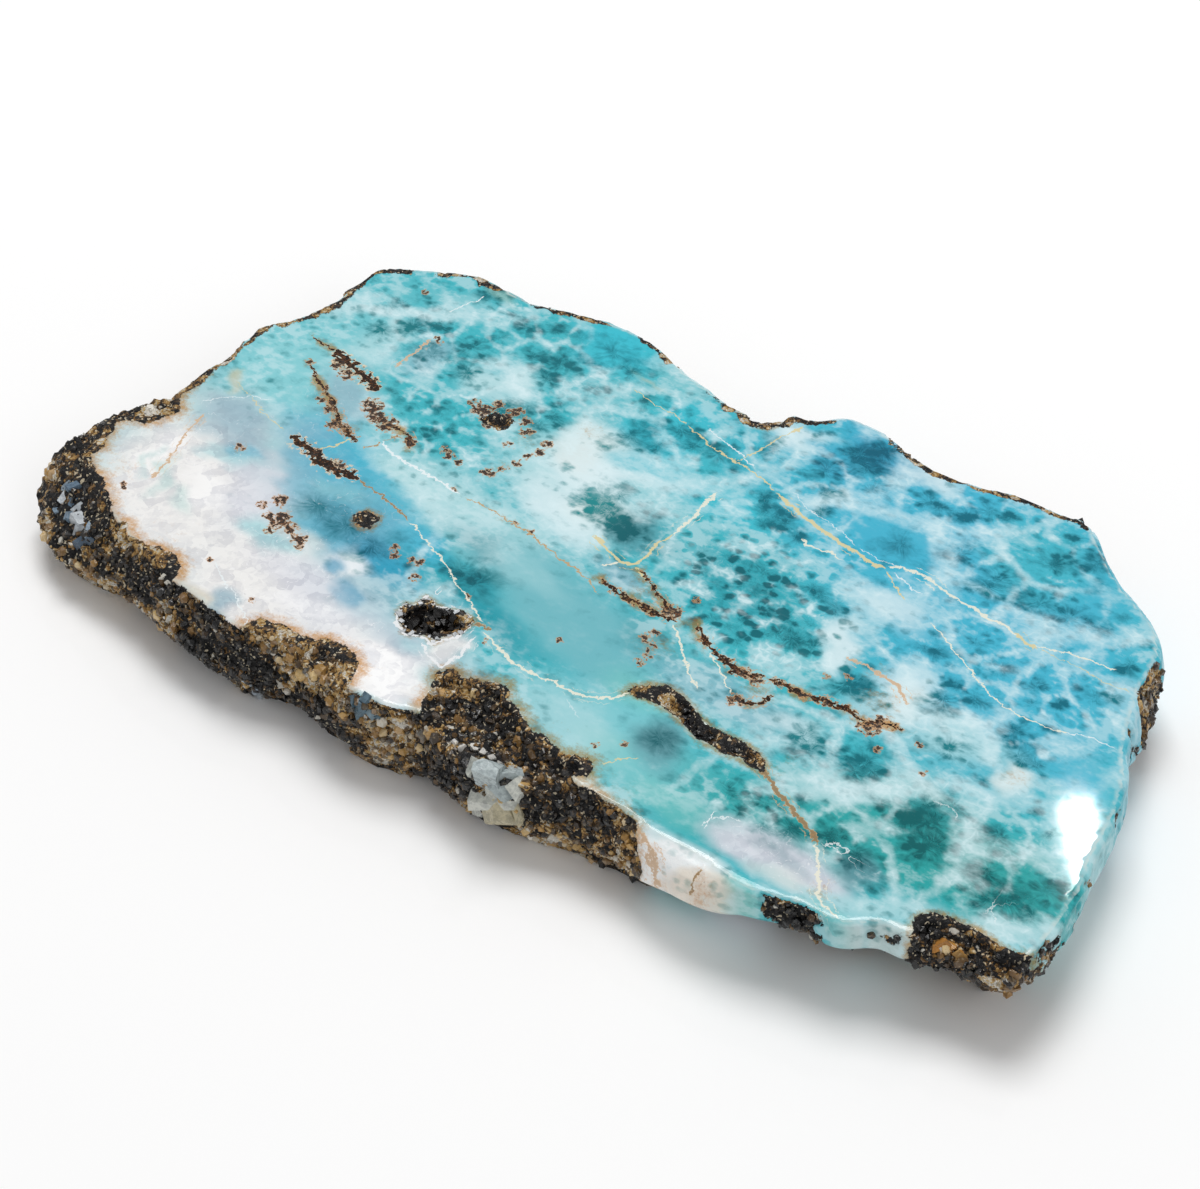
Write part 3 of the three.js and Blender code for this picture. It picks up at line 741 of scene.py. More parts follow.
# fine mineral lines: kind, half width, then their places in pixels
veins = [
    ("frost", 0.42, (399, 611), (406, 604), (414, 607), (427, 597), (435, 606), (445, 609), (465, 613),
     (474, 622)),
    ("frost", 0.4, (474, 622), (458, 636), (445, 640), (432, 644), (424, 637), (404, 634), (397, 624),
     (399, 611)),
    ("frost", 0.34, (421, 642), (427, 655), (440, 667), (452, 662), (461, 654), (476, 636)),
    ("tan", 0.36, (474, 622), (484, 626), (492, 630)),
    ("seam", 0.8, (291, 435), (304, 445), (316, 455), (326, 465), (344, 473), (360, 479)),
    ("tan", 0.26, (356, 478), (377, 492), (394, 506), (410, 521)),
    ("pale", 0.17, (408, 519), (425, 539), (440, 557), (453, 577), (465, 596), (481, 619), (487, 630)),
    ("pale", 0.3, (482, 630), (500, 648), (512, 661), (533, 674), (556, 683), (573, 694), (594, 698),
     (612, 698),
     (632, 692)),
    ("tan", 0.42, (758, 764), (776, 790), (796, 813), (812, 832), (818, 846)),
    ("pale", 0.34, (815, 843), (818, 867), (820, 886), (816, 895), (824, 905), (838, 920)),
    ("white", 0.26, (381, 440), (389, 452), (410, 465), (427, 474), (443, 483), (461, 495)),
    ("tan", 0.16, (461, 495), (489, 509), (512, 523), (527, 532), (545, 547), (565, 562), (581, 572),
     (593, 585),
     (601, 598)),
    ("pale", 0.42, (719, 493), (708, 501), (700, 509), (694, 517), (679, 527), (674, 537)),
    ("gold", 0.36, (675, 534), (656, 545), (648, 555), (633, 565), (623, 563), (606, 549), (593, 534)),
    ("gold", 0.2, (633, 565), (648, 581), (652, 590)),
    ("pale", 0.2, (600, 566), (618, 562), (633, 565)),
    ("dotted", 0.42, (600, 578), (615, 591), (631, 600), (651, 611), (669, 619), (678, 622)),
    ("dotted", 0.28, (640, 570), (652, 586), (662, 600), (673, 614)),
    ("pale", 0.24, (672, 622), (679, 642), (684, 657), (689, 677), (699, 690)),
    ("dotted", 0.5, (697, 624), (707, 642), (715, 652), (727, 662), (738, 672), (753, 675), (766, 677)),
    ("dotted", 0.4, (766, 677), (784, 685), (802, 695), (824, 701), (843, 707), (859, 717), (869, 726),
     (879, 722),
     (891, 725), (906, 731)),
    ("dotted", 0.32, (733, 695), (741, 702), (752, 703), (766, 701), (775, 696)),
    ("faint", 0.4, (846, 656), (866, 666), (882, 675), (898, 685), (908, 705)),
    ("pale", 0.2, (710, 650), (722, 672), (732, 694)),
    ("gold", 0.14, (633, 387), (651, 402), (669, 412), (689, 425)),
    ("gold", 0.2, (687, 424), (707, 443), (725, 456), (743, 466), (758, 476), (779, 494)),
    ("gold", 0.5, (776, 492), (789, 504), (804, 517), (819, 527), (835, 540), (855, 552), (870, 563),
     (887, 569)),
    ("pale", 0.36, (884, 568), (901, 568), (914, 572), (929, 579), (952, 596), (978, 611), (1004, 627),
     (1020, 637)),
    ("gold", 0.5, (1016, 632), (1024, 642), (1036, 648)),
    ("pale", 0.2, (1030, 645), (1042, 647), (1065, 653), (1086, 658), (1100, 664), (1118, 671)),
    ("white", 0.14, (707, 427), (727, 443), (745, 458), (756, 470)),
    ("white", 0.12, (790, 490), (812, 512), (840, 530), (858, 548)),
    ("gold", 0.12, (1037, 647), (1060, 659), (1081, 668), (1106, 683), (1134, 694)),
    ("gold", 0.2, (736, 462), (753, 453), (766, 448), (776, 440), (792, 432), (806, 426)),
    ("pale", 0.24, (801, 538), (806, 546), (812, 547), (830, 552), (842, 560)),
    ("gold", 0.24, (886, 570), (893, 583), (905, 600)),
    ("white", 0.14, (893, 572), (908, 585), (922, 596)),
    ("white", 0.12, (858, 548), (880, 560), (905, 570)),
    ("pale", 0.17, (929, 619), (940, 633), (950, 645), (968, 668), (984, 688), (1004, 706), (1030, 721),
     (1050, 729),
     (1064, 731)),
    ("pale", 0.26, (1056, 730), (1068, 733)),
    ("white", 0.16, (1064, 732), (1082, 736), (1101, 742), (1119, 750)),
    ("faint", 0.3, (394, 368), (407, 358), (420, 348), (433, 339)),
    ("white", 0.16, (448, 312), (466, 305), (486, 296)),
    ("gold", 0.24, (319, 449), (334, 446), (348, 440), (358, 440)),
    ("tan", 0.2, (362, 449), (374, 446), (385, 440), (396, 437), (405, 438)),
    ("dotted", 0.2, (312, 336), (326, 345), (338, 354)),
    ("seam", 0.85, (335, 350), (344, 360), (352, 367), (363, 374), (371, 383), (380, 390)),
    ("dotted", 0.3, (311, 363), (317, 378), (323, 388), (331, 400), (337, 410), (340, 424)),
    ("dotted", 0.5, (338, 422), (346, 431), (352, 438), (357, 441)),
    ("dotted", 0.34, (389, 426), (400, 430), (409, 436), (411, 449)),
    ("white", 0.12, (199, 402), (222, 398), (250, 396), (276, 400)),
    ("white", 0.14, (232, 585), (240, 605), (248, 628)),
    ("white", 0.14, (215, 560), (222, 578), (228, 592)),
    ("gold", 0.12, (236, 380), (250, 395), (265, 415), (285, 432)),
    ("faint", 0.3, (205, 412), (188, 432), (176, 450), (150, 480)),
    ("faint", 0.4, (635, 822), (655, 850), (668, 882), (690, 897)),
    ("tan", 0.3, (663, 878), (680, 882), (692, 892), (704, 903)),
    ("tan", 0.24, (690, 874), (697, 868), (702, 866)),
    ("gold", 0.14, (600, 764), (618, 760), (640, 757)),
    ("white", 0.12, (700, 826), (716, 818), (734, 818), (742, 822)),
    ("white", 0.16, (705, 830), (710, 820), (716, 810)),
    ("white", 0.12, (820, 842), (835, 848), (846, 858), (850, 850), (838, 843), (826, 840)),
    ("white", 0.1, (942, 925), (955, 931), (975, 935)),
    ("white", 0.1, (985, 915), (992, 905), (996, 925)),
    ("white", 0.1, (565, 697), (572, 708), (580, 720)),
    ("white", 0.1, (930, 800), (950, 806), (960, 822)),
]

veinKinds = {  # line colour, share of brown core, how broken up it is, share of orange stain round it
    "pale": ((236, 234, 216), 0.0, 0.2, 0.0),
    "white": ((236, 244, 246), 0.0, 0.15, 0.0),
    "frost": ((238, 240, 242), 0.0, 0.5, 0.0),
    "gold": ((222, 208, 158), 0.0, 0.2, 0.0),
    "tan": ((206, 172, 124), 0.5, 0.25, 0.35),
    "seam": ((236, 212, 178), 1.0, 0.0, 0.4),
    "dotted": ((206, 164, 118), 1.0, 0.45, 1.0),
    "faint": ((226, 192, 156), 0.15, 0.5, 0.5),
}

# rust grains on the face: half width: pixel places
rustSpots = [
    (1.0, (485, 411), (348, 374), (340, 364), (376, 416), (374, 410), (336, 425), (336, 466), (282, 520)),
    (0.7, (498, 404), (474, 402), (518, 412), (526, 422), (322, 400), (382, 428), (330, 410), (316, 452)),
    (1.1, (491, 422), (486, 412), (366, 519), (372, 405), (382, 420), (388, 424), (672, 612), (869, 727)),
    (0.8, (479, 409), (497, 424), (512, 414), (527, 432), (377, 408), (346, 430), (411, 442), (280, 500)),
    (0.8, (284, 515), (292, 528), (298, 540), (276, 522), (735, 700), (742, 672), (756, 680), (882, 722)),
    (0.6, (509, 445), (547, 444), (539, 452), (445, 450), (449, 456), (458, 463), (491, 473), (486, 472)),
    (0.55, (504, 468), (517, 463), (394, 548), (395, 556), (412, 560), (419, 562), (415, 577), (324, 388)),
    (0.6, (331, 402), (310, 362), (240, 447), (262, 505), (268, 516), (300, 545), (303, 539), (270, 530)),
    (0.6, (645, 638), (652, 645), (648, 655), (640, 662), (655, 633), (780, 683), (805, 696), (825, 702)),
    (0.45, (848, 677), (826, 676), (878, 749), (920, 746), (923, 773), (595, 745), (625, 744), (527, 457)),
    (0.45, (438, 339), (440, 342), (425, 292), (515, 523), (530, 532), (455, 490), (697, 600), (700, 640)),
    (0.4, (124, 484), (122, 489), (210, 560), (252, 600), (395, 437), (467, 597), (486, 641), (560, 640)),
]

stainSpots = [  # orange see-through stain: half width, share: pixel places
    (5.0, 0.35, (470, 690), (540, 745), (600, 800), (110, 470), (150, 545)),
    (3.0, 0.5, (655, 645), (300, 640), (350, 665), (760, 690), (880, 700), (165, 400)),
    (2.4, 0.35, (525, 440), (520, 415), (500, 465), (590, 430), (1012, 778), (905, 695), (880, 670)),
    (2.0, 0.5, (285, 525), (372, 385), (350, 430), (405, 440), (640, 590), (820, 890), (700, 878)),
    (1.8, 0.4, (368, 522), (415, 563), (240, 447), (775, 775), (790, 760), (700, 640), (720, 660)),
]

# where the pattern breaks into small dark flecks: pixel x, y, half length, half height, turn, share
speckled = [
    (760, 600, 120, 70, 32, 1), (430, 440, 70, 40, 25, 0.6), (700, 550, 60, 40, 20, 0.6),
    (760, 810, 60, 30, 25, 0.7), (1080, 690, 80, 40, 25, 0.5), (1000, 570, 60, 34, 25, 0.3),
    (950, 690, 50, 30, 20, 0.6), (600, 510, 50, 34, 10, 0.5), (430, 345, 60, 34, 10, 0.35),
    (985, 520, 70, 14, 22, 0.4), (840, 740, 40, 22, 20, 0.4),
]


def toLinear(colour):
    colour = np.asarray(colour, float) / 255
    return np.where(colour <= 0.04045, colour / 12.92, ((colour + 0.055) / 1.055) ** 2.4)


# how far points lie inside a turned ellipse: 0 at its middle, 1 on its line
def ellipseAt(places, x, y, halfLong, halfHigh, turn):
    cosine, sine = math.cos(math.radians(turn)), math.sin(math.radians(turn))
    along = (places[:, 0] - x) * cosine + (places[:, 1] - y) * sine
    across = (places[:, 1] - y) * cosine - (places[:, 0] - x) * sine
    return np.hypot(along / halfLong, across / halfHigh)


patternShape = {
    "waver": (12, 8),  # how far the patches of colour waver, in pixels
    "waverSize": (5.0, 2.6, 5.0),
    "eyeWaver": 0.55,
    "eyeWaverSize": 1.7,
    "eyeFlat": 1.15,  # eyes are this much longer than high
    "eyeWide": 1.25,  # sizes of an eye's soft and hard middle, in its half widths
    "eyeNarrow": 0.6,
    "webWaver": 0.5,
    "webWaverSize": 2.4,
    "webWidth": 1.7,
    "netShare": 0.55,  # how white the net, the haze in it, the threads and the clouds are
    "hazeShare": 0.1,
    "webShare": 0.5,
    "cloudShare": 0.34,
    "speckleAll": 0.42,  # how far the small flecks go beyond their own places
    "bigRinds": ("endRind", "frontRust", "frontBay"),  # open rock with a wider stain beside it
    "towardsBack": (-0.45, 0.9, 0),
    "backRind": (1.3, 0.5),  # how far in from the back edge its rind ends, and where it is full
}


# the plan of the pattern, seen from the camera as if it all lay on the face, and made to waver
def patternPlaces(points, waver=1.0):
    plan = points * (1, 1, 0) + (0, 0, thickness)
    drift = driftAt(plan, patternShape["waverSize"], 51) * patternShape["waver"]
    return inPhoto(plan) + drift * waver


def groundAt(points):
    places = patternPlaces(points)
    colour = np.tile(toLinear(palette["turquoise"]), (len(points), 1))
    for name, *patches in ground:
        for x, y, halfLong, halfHigh, turn, share in patches:
            cover = share * smoothStep(1.35, 0.35, ellipseAt(places, x, y, halfLong, halfHigh, turn))
            colour += (toLinear(palette[name]) - colour) * cover[:, None]
    return colour


# dark eyes: their depth, the direction from the nearest one's middle, how near that is, and the pale net
def eyesAt(points):
    shape = patternShape
    plan = points[:, :2] + shape["eyeWaver"] * driftAt(points, shape["eyeWaverSize"], 61)
    light = np.ones(len(points))
    nearest = np.full(len(points), 9.0)
    second = np.full(len(points), 9.0)
    fibre = np.zeros((len(points), 3))
    seed = 0
    for half, depth, *middles in eyes:
        for middle in onStone(middles):
            seed += 1
            away = plan - middle
            gap = np.hypot(away[:, 0] / shape["eyeFlat"], away[:, 1])
            wide, narrow = gap / half / shape["eyeWide"], gap / half / shape["eyeNarrow"]
            light *= 1 - depth * (0.6 * np.exp(-wide ** 2) + 0.4 * np.exp(-narrow ** 2))
            near = gap / (half + 0.6)
            closer = near < nearest
            second = np.where(closer, nearest, np.minimum(second, near))
            nearest = np.where(closer, near, nearest)
            turned = away / np.maximum(gap, 0.05)[:, None]
            fibre[closer] = np.column_stack([turned, gap * 0.16 + seed * 3.1])[closer]
    between = smoothStep(0.6, 0.0, second - nearest)
    between *= smoothStep(0.5, 1.1, nearest) * smoothStep(3.2, 1.8, nearest)
    haze = smoothStep(1.3, 2.6, nearest)
    net = 1 - (1 - shape["netShare"] * between) * (1 - shape["hazeShare"] * haze)
    return 1 - light, fibre, smoothStep(2.1, 0.8, nearest), net


# pale clouds, laid over one another
def cloudsAt(points):
    places = patternPlaces(points, 0.7)
    left = np.ones(len(points))
    for halfLong, halfHigh, turn, share, *middles in clouds:
        for x, y in middles:
            away = ellipseAt(places, x, y, halfLong, halfHigh, turn)
            left *= 1 - share * np.exp(-away ** 2 * 1.1)
    return 1 - left


def websAt(points):
    plan = points[:, :2] + patternShape["webWaver"] * driftAt(points, patternShape["webWaverSize"], 71, 2)
    white = np.zeros(len(points))
    for half, share, *places in webs:
        nearest = alongLine(plan, onStone(places))[0]
        white = np.maximum(white, share * np.exp(-(nearest / half / patternShape["webWidth"]) ** 2))
    return white


def rustAt(points):
    rust = np.zeros(len(points))
    for half, *places in rustSpots:
        for place in onStone(places):
            rust = np.maximum(rust, np.clip(1.3 - 0.8 * gapTo(points, place) / (half * 1.15), 0, 1))
    return rust


def stainAt(points):
    stain = np.zeros(len(points))
    broken = smoothStep(-0.35, 0.45, cloudAt(points, 2.6, 75, 3))
    for half, share, *places in stainSpots:
        for place in onStone(places):
            stain = np.maximum(stain, share * np.exp(-(gapTo(points, place) / half) ** 2 * 1.2))
    # along the rusty lines too
    for kind, half, *places in veins:
        share = veinKinds[kind][3]
        if share > 0:
            nearest = alongLine(points[:, :2], onStone(places))[0]
            stain = np.maximum(stain, broken * share * np.exp(-(nearest / (half + 0.7)) ** 2))
    # and beside the open rock
    for name, outline in openRock.items():
        reach = 1.5 if name in patternShape["bigRinds"] else 0.8
        depth = depthInside(points[:, :2], onStone(outline))
        stain = np.maximum(stain, 0.8 * np.exp(-(np.minimum(depth, 0) / reach) ** 2) * (depth > -4))
    return stain


def patchesAt(points, patches):
    places = patternPlaces(points)
    total = np.zeros(len(points))
    for x, y, halfLong, halfHigh, turn, share in patches:
        cover = smoothStep(1.3, 0.5, ellipseAt(places, x, y, halfLong, halfHigh, turn))
        total = np.maximum(total, share * cover)
    return total


# smooth stretches without mottling, and the white quartz, in the same way
calmPlaces = [
    (560, 620, 110, 50, 36, 1), (610, 730, 90, 45, 20, 0.85), (330, 500, 100, 60, 30, 0.75),
    (900, 545, 60, 26, 28, 0.7), (620, 345, 50, 26, 10, 0.7), (885, 455, 50, 22, 25, 0.5),
    (1090, 780, 44, 24, 20, 0.6), (340, 380, 60, 40, 20, 0.5), (700, 830, 70, 24, 25, 0.6),
    (1110, 600, 34, 40, 20, 0.5), (660, 440, 34, 20, 20, 0.4),
]

quartzPlaces = [
    (170, 470, 100, 80, -20, 1), (250, 570, 110, 80, 30, 1), (360, 650, 90, 36, 22, 1),
    (448, 655, 34, 20, -30, 0.9), (780, 860, 80, 28, 28, 0.8), (235, 430, 40, 40, 10, 0.6),
    (675, 862, 50, 20, 26, 0.4), (355, 395, 34, 26, 35, 0.35), (370, 688, 60, 18, 22, 1),
    (330, 500, 70, 40, 30, 0.5), (330, 420, 50, 40, 20, 0.4),
]

# rock colours on the visible edge: from -1 black to 1 ochre, then pixel x, y, half sizes, turn, share
rockZones = [
    (1.0, 50, 460, 16, 20, 0, 0.9), (0.9, 60, 480, 14, 10, 0, 0.6), (-0.9, 90, 500, 40, 40, 30, 0.8),
    (-0.8, 75, 440, 40, 14, -35, 0.8), (0.7, 110, 440, 30, 10, -35, 0.7),
    (0.8, 160, 402, 26, 12, -20, 0.9), (-0.8, 120, 410, 26, 12, -20, 0.7), (0.9, 45, 530, 12, 14, 30, 0.8),
    (0.9, 100, 582, 60, 9, 32, 0.9), (-0.9, 140, 575, 60, 16, 32, 0.9), (0.8, 190, 640, 70, 9, 30, 0.8),
    (-0.9, 230, 660, 70, 20, 25, 0.9), (0.9, 310, 670, 50, 22, 30, 0.8), (-0.6, 300, 700, 40, 16, 20, 0.7),
    (0.9, 275, 640, 30, 10, 20, 0.7), (0.8, 400, 745, 34, 34, 20, 0.9), (-0.7, 440, 775, 30, 24, 30, 0.7),
    (-0.9, 470, 715, 44, 30, 30, 0.9), (-0.8, 530, 750, 50, 20, 30, 0.8), (0.6, 440, 690, 40, 10, 10, 0.7),
    (0.7, 560, 745, 50, 8, 25, 0.6), (-0.7, 550, 815, 40, 36, 30, 0.8), (0.9, 560, 850, 50, 20, 25, 0.8),
    (0.9, 625, 850, 14, 24, 20, 0.9), (-0.6, 600, 830, 24, 24, 30, 0.7), (0.9, 430, 790, 40, 12, 30, 0.6),
    (-0.9, 495, 818, 22, 12, 20, 1.0), (-0.8, 790, 918, 34, 18, 15, 0.9), (0.8, 760, 905, 12, 16, 0, 0.6),
    (-0.7, 940, 930, 30, 16, 25, 0.9), (0.9, 950, 947, 16, 8, 10, 0.9), (-0.6, 1010, 965, 36, 14, 15, 0.9),
    (0.7, 1000, 984, 30, 6, 15, 0.7), (0.8, 740, 415, 40, 6, 10, 0.6), (-0.7, 765, 418, 20, 8, 0, 0.9),
    (0.7, 450, 275, 40, 5, 10, 0.8), (0.6, 1150, 685, 14, 30, 20, 0.8), (-0.8, 600, 705, 50, 18, 30, 1),
    (-0.7, 665, 755, 50, 20, 40, 1), (0.7, 690, 775, 14, 10, 40, 0.8), (-0.7, 422, 630, 40, 26, 10, 0.9),
    (-0.9, 495, 413, 30, 16, 10, 1), (-0.9, 366, 520, 20, 12, 0, 1), (-0.8, 720, 740, 60, 20, 35, 1),
]


rockTones = {
    "bands": 0.9,  # how far the tone drifts beyond those places
    "bandSize": 5.0,
    "middle": -0.15,
    "spots": 0.7,
    "spotSize": 1.7,
}


def rockToneAt(points):
    places = inPhoto(points)
    tone = rockTones["bands"] * cloudAt(points, rockTones["bandSize"], 81, 2) + rockTones["middle"]
    for shade, x, y, halfLong, halfHigh, turn, share in rockZones:
        cover = share * smoothStep(1.3, 0.5, ellipseAt(places, x, y, halfLong, halfHigh, turn))
        tone += (shade - tone) * cover
    return np.clip(tone + rockTones["spots"] * cloudAt(points, rockTones["spotSize"], 82, 3), -1, 1)


def storeValues(mesh, name, values, kind="FLOAT", domain="POINT"):
    layer = mesh.attributes.new(name, kind, domain)
    if kind == "FLOAT_COLOR":
        values = np.column_stack([values, np.ones(len(values))])
    field = {"FLOAT": "value", "FLOAT_VECTOR": "vector", "FLOAT_COLOR": "color"}[kind]
    layer.data.foreach_set(field, np.ascontiguousarray(values, np.float32).ravel())


# signed distance to the nearest vein, stored on the corners of each face so that thin lines stay crisp
def storeVeins(stone):
    mesh = stone.data
    points = pointsOf(mesh)
    corners, starts, counts = cornersOf(mesh)
    middles = np.stack([faceMeans(mesh, points[:, axis]) for axis in range(3)], 1)
    best = np.full(len(middles), 2.6)  # no vein reaches further than this
    chosen = np.full(len(middles), -1)
    lines = [onStone(places) for kind, half, *places in veins]
    for index, (line, (kind, half, *places)) in enumerate(zip(lines, veins)):
        nearest, signed, along = alongLine(middles[:, :2], line)
        nearest = nearest - half + 6 * ((along < -0.02) | (along > 1.02))
        chosen = np.where(nearest < best, index, chosen)
        best = np.minimum(nearest, best)
    chosen = np.where(middles[:, 2] < 1.2, -1, chosen)  # none on the underside
    ofCorner = np.repeat(chosen, counts)
    gap = np.full(len(corners), 9.0)
    width, core, broken = np.zeros((3, len(corners)))
    colour = np.zeros((len(corners), 3))
    for index, (line, (kind, half, *places)) in enumerate(zip(lines, veins)):
        use = ofCorner == index
        if not use.any():
            continue
        nearest, signed, along = alongLine(points[corners[use]][:, :2], line)
        ends = smoothStep(-0.01, 0.07, along) * smoothStep(1.01, 0.93, along)
        shade, brown, breaks, stained = veinKinds[kind]
        gap[use] = signed
        width[use] = half * (0.75 if brown == 1 else 0.54) * ends
        colour[use] = toLinear(shade)
        core[use] = brown
        broken[use] = breaks
    for name, values in (("veinGap", gap), ("veinHalf", width), ("veinCore", core), ("veinBroken", broken)):
        storeValues(mesh, name, values, domain="CORNER")
    storeValues(mesh, "veinShade", colour, "FLOAT_COLOR", "CORNER")


def markStone(stone):
    mesh = stone.data
    points = pointsOf(mesh)
    dark, fibre, near, net = eyesAt(points)
    calm = patchesAt(points, calmPlaces)
    quartz = patchesAt(points, quartzPlaces)
    plain = (1 - calm) * (1 - quartz)
    speckle = np.maximum(patchesAt(points, speckled), patternShape["speckleAll"] * plain)
    clear = (1 - patternShape["webShare"] * websAt(points)) * (1 - net * plain)
    clear *= 1 - patternShape["cloudShare"] * cloudsAt(points)
    gaps = rimGapAt(points)
    # the thin rind along the back edge
    uneven = gaps + 0.5 * cloudAt(points, 1.6, 91, 3)
    behind = smoothStep(-4, 4, points @ np.array(patternShape["towardsBack"]))
    rind = behind * smoothStep(0.35, 0.8, edgeRockAt(points))
    rind *= smoothStep(*patternShape["backRind"], uneven)
    values = {
        "dark": dark,
        "fibreShare": near,
        "white": 1 - clear,
        "calm": calm,
        "speckle": speckle,
        "quartz": quartz,
        "rock": np.maximum(rockAt(points), rind * liesOnFace(points)),
        "rim": gaps,
        "rust": rustAt(points),
        "stain": stainAt(points),
        "rockTone": rockToneAt(points),
    }
    for name, value in values.items():
        storeValues(mesh, name, value)
    storeValues(mesh, "ground", groundAt(points), "FLOAT_COLOR")
    storeValues(mesh, "fibre", fibre, "FLOAT_VECTOR")
    storeVeins(stone)


markStone(stone)
print("markings laid")


# node helpers
def addNode(tree, kind, sockets=(), **settings):
    node = tree.nodes.new(kind)
    for name, value in settings.items():
        setattr(node, name, value)
    for key, value in dict(sockets).items():
        if isinstance(value, bpy.types.NodeSocket):
            tree.links.new(value, node.inputs[key])
        else:
            node.inputs[key].default_value = value
    return node


def mathNode(tree, operation, first, second=0.0, third=0.0, clamp=False):
    sockets = {0: first, 1: second, 2: third}
    return addNode(tree, "ShaderNodeMath", sockets, operation=operation, use_clamp=clamp).outputs[0]


def timesNode(tree, first, *others):
    for other in others:
        first = mathNode(tree, "MULTIPLY", first, other)
    return first


def lessNode(tree, first, second, clamp=False):
    return mathNode(tree, "SUBTRACT", first, second, clamp=clamp)


# first times second, and the third added
def timesAddNode(tree, first, second, third, clamp=False):
    return mathNode(tree, "MULTIPLY_ADD", first, second, third, clamp)


# a value moved up and down by a noise that lies round 0.5
def swayNode(tree, noise, amount, value=0.0):
    return timesAddNode(tree, lessNode(tree, noise, 0.5), amount, value)


def stepNode(tree, value, low, high, bottom=0.0, top=1.0):
    sockets = {"Value": value, "From Min": low, "From Max": high, "To Min": bottom, "To Max": top}
    return addNode(tree, "ShaderNodeMapRange", sockets, interpolation_type="SMOOTHSTEP").outputs[0]


def mixValue(tree, share, first, second):
    return addNode(tree, "ShaderNodeMix", {0: share, 2: first, 3: second}).outputs[0]


def mixNode(tree, share, first, second, blend="MIX"):
    sockets = {0: share, 6: first, 7: second}
    return addNode(tree, "ShaderNodeMix", sockets, data_type="RGBA", blend_type=blend).outputs[2]


def tintNode(tree, colour, tint):
    return mixNode(tree, 1.0, colour, tint, "MULTIPLY")


def scaleNode(tree, vector, factors):
    return addNode(tree, "ShaderNodeVectorMath", {0: vector, 1: factors}, operation="MULTIPLY").outputs[0]


def noiseNode(tree, vector, scale, detail=3.0, roughness=0.55):
    sockets = {"Vector": vector, "Scale": scale, "Detail": detail, "Roughness": roughness}
    return addNode(tree, "ShaderNodeTexNoise", sockets).outputs["Fac"]


# a place pushed about by the colours of a noise
def warpNode(tree, vector, scale, detail, push, pushed):
    noise = addNode(tree, "ShaderNodeTexNoise", {"Vector": vector, "Scale": scale, "Detail": detail})
    sockets = {0: noise.outputs["Color"], 1: (push, push, push), 2: pushed}
    return addNode(tree, "ShaderNodeVectorMath", sockets, operation="MULTIPLY_ADD").outputs[0]


def cellNode(tree, vector, scale, feature="F1"):
    sockets = {"Vector": vector, "Scale": scale}
    return addNode(tree, "ShaderNodeTexVoronoi", sockets, feature=feature).outputs


# a random value for each cell, from one channel of its colour
def cellValue(tree, cells, channel):
    return addNode(tree, "ShaderNodeSeparateColor", {0: cells["Color"]}).outputs[channel]


def attributeNode(tree, name, output="Fac"):
    return addNode(tree, "ShaderNodeAttribute", attribute_name=name).outputs[output]


def bumpNode(tree, height, distance, strength=1.0):
    sockets = {"Height": height, "Distance": distance, "Strength": strength}
    return addNode(tree, "ShaderNodeBump", sockets).outputs[0]


def linear(colour):
    return (*toLinear(colour), 1)


def rampNode(tree, value, stops):
    ramp = addNode(tree, "ShaderNodeValToRGB", {0: value})
    while len(ramp.color_ramp.elements) < len(stops):
        ramp.color_ramp.elements.new(0.5)
    for element, (place, colour) in zip(ramp.color_ramp.elements, stops):
        element.position = place
        element.color = linear(colour)
    return ramp.outputs[0]


def newGroup(name, inputs, outputs):
    tree = bpy.data.node_groups.new(name, "ShaderNodeTree")
    for direction, sockets in (("INPUT", inputs), ("OUTPUT", outputs)):
        for socketName, kind in sockets:
            tree.interface.new_socket(socketName, in_out=direction, socket_type="NodeSocket" + kind)
    return tree, tree.nodes.new("NodeGroupInput").outputs, tree.nodes.new("NodeGroupOutput").inputs


def useGroup(tree, group, sockets):
    return addNode(tree, "ShaderNodeGroup", sockets, node_tree=group).outputs


lavaGrit = {
    "cells": 1.0,  # grains to a millimetre
    "fineCells": 4.2,
    "spread": 0.72,  # how much neighbouring grains differ
    "lean": 0.39,  # how far the rock tone shifts them
    "colours": [
        (0.0, (11, 11, 13)), (0.3, (35, 33, 33)), (0.41, (78, 60, 38)), (0.53, (138, 102, 54)),
        (0.65, (188, 147, 82)), (0.75, (214, 184, 126)), (0.87, (198, 194, 182)), (1.0, (240, 236, 226)),
    ],
    "fineGreyTint": [(0.25, (176, 174, 172)), (0.7, (255, 255, 255))],
    # painted highlight: the colour of bright specks that stand in for lamp light glinting off the grains
    "glint": (226, 212, 182),
    "paintedGlintShare": 0.65,
    "rough": 0.75,
    "glossy": 0.3,
}


